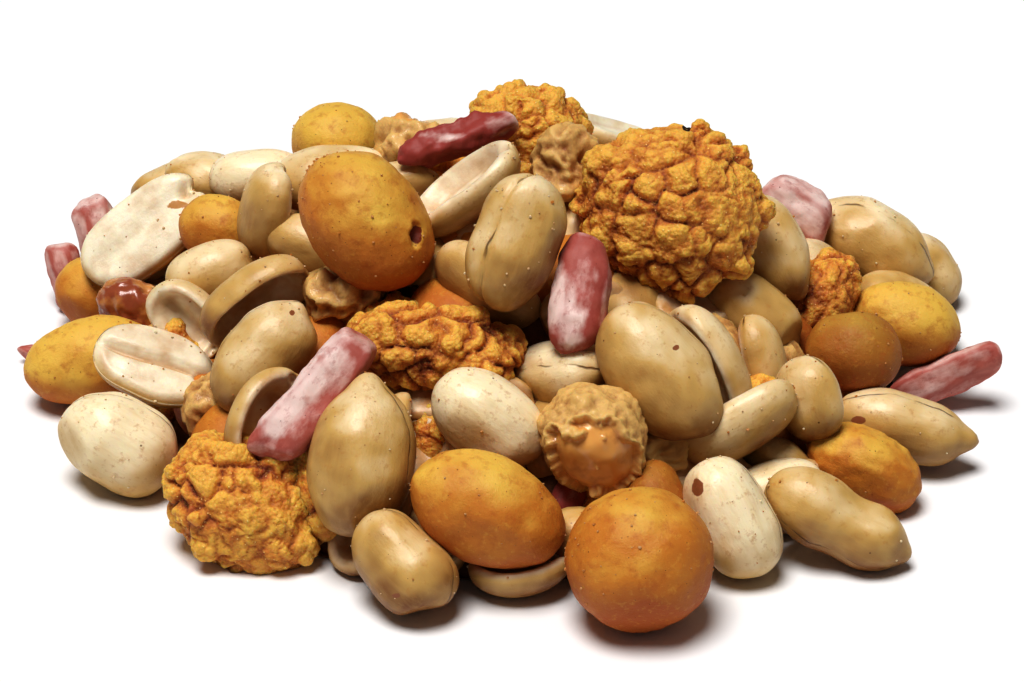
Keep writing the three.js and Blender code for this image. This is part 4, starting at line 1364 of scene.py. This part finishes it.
class GlazedOptions(bpy.types.PropertyGroup):
    coat_thickness: length("Coat thickness", "Thickness of the broken coat", 1.0)
    coat_grain: length("Coat grain", "Height of the coat's grain", 0.12)
    coat: colour("Coat", "Dry crumbly coat", "#E6BE78")
    # Browned coat is laid as painted shade down the cracks and underneath.
    coat_browned: colour("Browned coat", "Down the coat's cracks", "#A2602C")
    amber: colour("Amber", "Boiled sugar, thin", "#E8B066")
    caramel: colour("Caramel", "Boiled sugar, thick", "#A0583A")


class CrumbOptions(bpy.types.PropertyGroup):
    grains: IntProperty(
        name="Grains", description="Grains of salt and crumb on the pieces", default=1300, min=0,
        max=6000,
    )
    smallest: length("Smallest grain", "Across the smallest grain", 0.14)
    largest: length("Largest grain", "Across the largest grain", 0.36)
    salt: colour("Salt", "Palest grains", "#EFDDB5")
    crumb: colour("Crumb", "Darkest grains", "#C07A30")
    # The core's two browns are painted shade, deep down the gaps between the pieces.
    brown: colour("Packed crumbs", "The heap's core", "#80502C")
    dark: colour("Packed skins", "The heap's core, in its hollows", "#54321C")


class StageOptions(bpy.types.PropertyGroup):
    table_width: FloatProperty(
        name="Table width", description="Side of the square table top", default=6.0, min=0.5,
        unit="LENGTH",
    )
    table: colour("Table", "White table top", "#F4F4F4")
    key_strength: FloatProperty(
        name="Key light", description="Broad light from above and a little to the left (W/m2)",
        default=3.4, min=0.0,
    )
    key_angle: FloatProperty(
        name="Key angle", description="How wide the light from above is",
        default=math.radians(28), min=math.radians(1), max=math.radians(90), subtype="ANGLE",
    )
    contrast: FloatProperty(
        name="Gamma", description="Below 1, the picture has a camera's stronger contrast",
        default=0.76, min=0.5, max=1.5,
    )
    sky_strength: FloatProperty(
        name="Room light", description="Even light from all round", default=0.1, min=0.0,
    )


# ---- building
class BuildCore(bpy.types.Operator):
    """Builds the core that carries the pieces, dark brown as painted shade down the gaps"""

    bl_idname = "snack_mix.build_core"
    bl_label = "Core"

    def execute(self, context):
        show(core_mesh(), core_finish(context.scene.snack_crumbs))
        return {"FINISHED"}


def build_kind(kind, name, shape, finish, options, slot, seed, spread=1.0):
    """All the pieces of one kind, joined, each shaped by its own repeatable draw. Spread is how
    far round a point (mm) its surroundings reach, when its hollow is measured."""
    batch = Batch(name)
    alike = [piece for piece in PIECES if piece.kind == kind]
    for number, piece in enumerate(alike):
        mesh, mark = shape(piece, options, seeded_draw(seed + 101 * number))
        batch.add(piece, mesh, mark, seed + number, spread)
    batch.finish(finish(options), slot)
    return {"FINISHED"}


class BuildKernels(bpy.types.Operator):
    """Builds the whole blanched kernels"""

    bl_idname = "snack_mix.build_kernels"
    bl_label = "Whole kernels"

    def execute(self, context):
        options = context.scene.snack_peanuts
        return build_kind(
            "kernel", "peanut_kernels", kernel_shape, kernel_finish, options, "peanut", 3)


class BuildHalves(bpy.types.Operator):
    """Builds the split half kernels"""

    bl_idname = "snack_mix.build_halves"
    bl_label = "Half kernels"

    def execute(self, context):
        options = context.scene.snack_peanuts
        return build_kind("half", "peanut_halves", half_shape, half_finish, options, "peanut", 17)


class BuildCoated(bpy.types.Operator):
    """Builds the peanuts in a fried coat"""

    bl_idname = "snack_mix.build_coated"
    bl_label = "Coated peanuts"

    def execute(self, context):
        options = context.scene.snack_coated
        return build_kind(
            "coated", "coated_peanuts", coated_shape, coated_finish, options, "coating", 29)


class BuildCrackers(bpy.types.Operator):
    """Builds the craggy clusters of fried crumbs"""

    bl_idname = "snack_mix.build_crackers"
    bl_label = "Crumb clusters"

    def execute(self, context):
        options = context.scene.snack_crackers
        return build_kind(
            "cracker", "crumb_clusters", cracker_shape, cracker_finish, options, "cracker", 41, 1.1)


class BuildSticks(bpy.types.Operator):
    """Builds the pink sticks"""

    bl_idname = "snack_mix.build_sticks"
    bl_label = "Pink sticks"

    def execute(self, context):
        options = context.scene.snack_sticks
        return build_kind(
            "stick", "pink_sticks", stick_shape, stick_finish, options, "pink_stick", 53, 0.9)


class BuildGlazed(bpy.types.Operator):
    """Builds the sugar-glazed nuts"""

    bl_idname = "snack_mix.build_glazed"
    bl_label = "Glazed nuts"

    def execute(self, context):
        options = context.scene.snack_glazed
        return build_kind(
            "glazed", "glazed_nuts", glazed_shape, glazed_finish, options, "glaze", 67, 0.6)


# The pieces that grains cling to, and how far down a face may point that still holds one.
CARRIERS = ("peanut_kernels", "peanut_halves", "coated_peanuts")
UNDERSIDE = -0.3


def buried(point, at, axes, semi):
    """Whether a point (mm) lies inside one of the pieces that aren't its own."""
    reach = np.linalg.norm(np.einsum("nij,nj->ni", axes, point - at) / semi, axis=1)
    return np.sum(reach < 1.02) > 1


class BuildCrumbs(bpy.types.Operator):
    """Scatters grains of salt and crumb on the pieces, with the paler ones on the peanuts"""

    bl_idname = "snack_mix.build_crumbs"
    bl_label = "Salt and crumbs"

    def execute(self, context):
        options = context.scene.snack_crumbs
        draw = seeded_draw(83)
        bm = bmesh.new()
        shades = []
        carriers = [bpy.data.objects[name].data for name in CARRIERS]
        lying = [
            np.array([getattr(piece, key) for piece in PIECES]) for key in ("at", "axes", "semi")
        ]
        while len(shades) < options.grains:
            mesh = carriers[int(draw(0, len(carriers)))]
            vertex = mesh.vertices[int(draw(0, len(mesh.vertices)))]
            across = options.smallest + (options.largest - options.smallest) * draw() ** 3
            spin = any_turn(draw)
            squash = Matrix.Diagonal((draw(0.8, 1.3), 1, draw(0.6, 1), 1))
            shade = draw(0, 1 if mesh.name.startswith("peanut") else 0.35)
            if vertex.normal.z < UNDERSIDE or buried(np.array(vertex.co) / MM, *lying):
                continue
            seat = vertex.co + vertex.normal * across * 0.2
            bmesh.ops.create_icosphere(
                bm, subdivisions=1, radius=across / 2,
                matrix=Matrix.Translation(seat) @ spin @ squash,
            )
            shades.append(shade)
        mesh = as_mesh(bm, "salt_and_crumbs")
        per_grain = len(mesh.vertices) // len(shades)
        values = np.repeat(np.array(shades, np.float32), per_grain)
        mesh.attributes.new("shade", "FLOAT", "POINT").data.foreach_set("value", values)
        show(mesh, crumb_finish(options))
        return {"FINISHED"}


# Where the broad light shines from.
KEY_FROM = (-0.15, -0.15, 1.0)


class BuildStage(bpy.types.Operator):
    """Builds the white table, the lights and the camera"""

    bl_idname = "snack_mix.build_stage"
    bl_label = "Table, lights and camera"

    def execute(self, context):
        options = context.scene.snack_stage
        scene = context.scene
        bm = bmesh.new()
        bmesh.ops.create_grid(bm, x_segments=1, y_segments=1, size=options.table_width / 2)
        table = placed("table_top", as_mesh(bm, "table_top"))
        table.data.materials.append(table_finish(options))

        key = bpy.data.lights.new("key_light", "SUN")
        key.energy = options.key_strength
        key.angle = options.key_angle
        turned = Vector(KEY_FROM).to_track_quat("Z", "Y")
        placed("key_light", key).rotation_euler = turned.to_euler()

        world = bpy.data.worlds.new("white_room")
        world.use_nodes = True
        world.node_tree.nodes.clear()
        room = add_node(world.node_tree, "Background", None, {
            "Color": (1, 1, 1, 1), "Strength": options.sky_strength})
        add_node(world.node_tree, "OutputWorld", None, {"Surface": room})
        scene.world = world
        scene.view_settings.view_transform = "Standard"
        scene.view_settings.gamma = options.contrast

        camera = bpy.data.cameras.new("front_camera")
        camera.lens = LENS
        camera.clip_start, camera.clip_end = 0.02, 20
        camera_object = placed("front_camera", camera)
        camera_object.location = Vector(EYE * MM)
        camera_object.rotation_euler = (math.pi / 2 - EYE_TILT, 0, 0)
        scene.camera = camera_object
        return {"FINISHED"}


OPERATORS = (
    BuildStage, BuildCore, BuildKernels, BuildHalves, BuildCoated, BuildCrackers, BuildSticks,
    BuildGlazed, BuildCrumbs,
)
OPTIONS = {
    "snack_peanuts": PeanutOptions,
    "snack_coated": CoatedOptions,
    "snack_crackers": CrackerOptions,
    "snack_sticks": StickOptions,
    "snack_glazed": GlazedOptions,
    "snack_crumbs": CrumbOptions,
    "snack_stage": StageOptions,
}


class SnackMixPanel(bpy.types.Panel):
    """The heap's pieces and their options"""

    bl_idname = "VIEW3D_PT_snack_mix"
    bl_label = "Snack Mix Heap"
    bl_space_type = "VIEW_3D"
    bl_region_type = "UI"
    bl_category = "Snack Mix"

    def draw(self, context):
        for operator in OPERATORS:
            self.layout.operator(operator.bl_idname)
        for name in OPTIONS:
            options = getattr(context.scene, name)
            box = self.layout.box()
            for key in options.bl_rna.properties.keys():
                if key not in ("rna_type", "name"):
                    box.prop(options, key)


def register():
    for group in OPTIONS.values():
        bpy.utils.register_class(group)
    for name, group in OPTIONS.items():
        setattr(bpy.types.Scene, name, PointerProperty(type=group))
    for operator in OPERATORS:
        bpy.utils.register_class(operator)
    bpy.utils.register_class(SnackMixPanel)


def unregister():
    bpy.utils.unregister_class(SnackMixPanel)
    for operator in reversed(OPERATORS):
        bpy.utils.unregister_class(operator)
    for name, group in OPTIONS.items():
        delattr(bpy.types.Scene, name)
        bpy.utils.unregister_class(group)


PIECES = turned_on(heap_pieces())


def main():
    register()
    for operator in OPERATORS:
        family, name = operator.bl_idname.split(".")
        getattr(getattr(bpy.ops, family), name)()


if __name__ == "__main__":
    main()
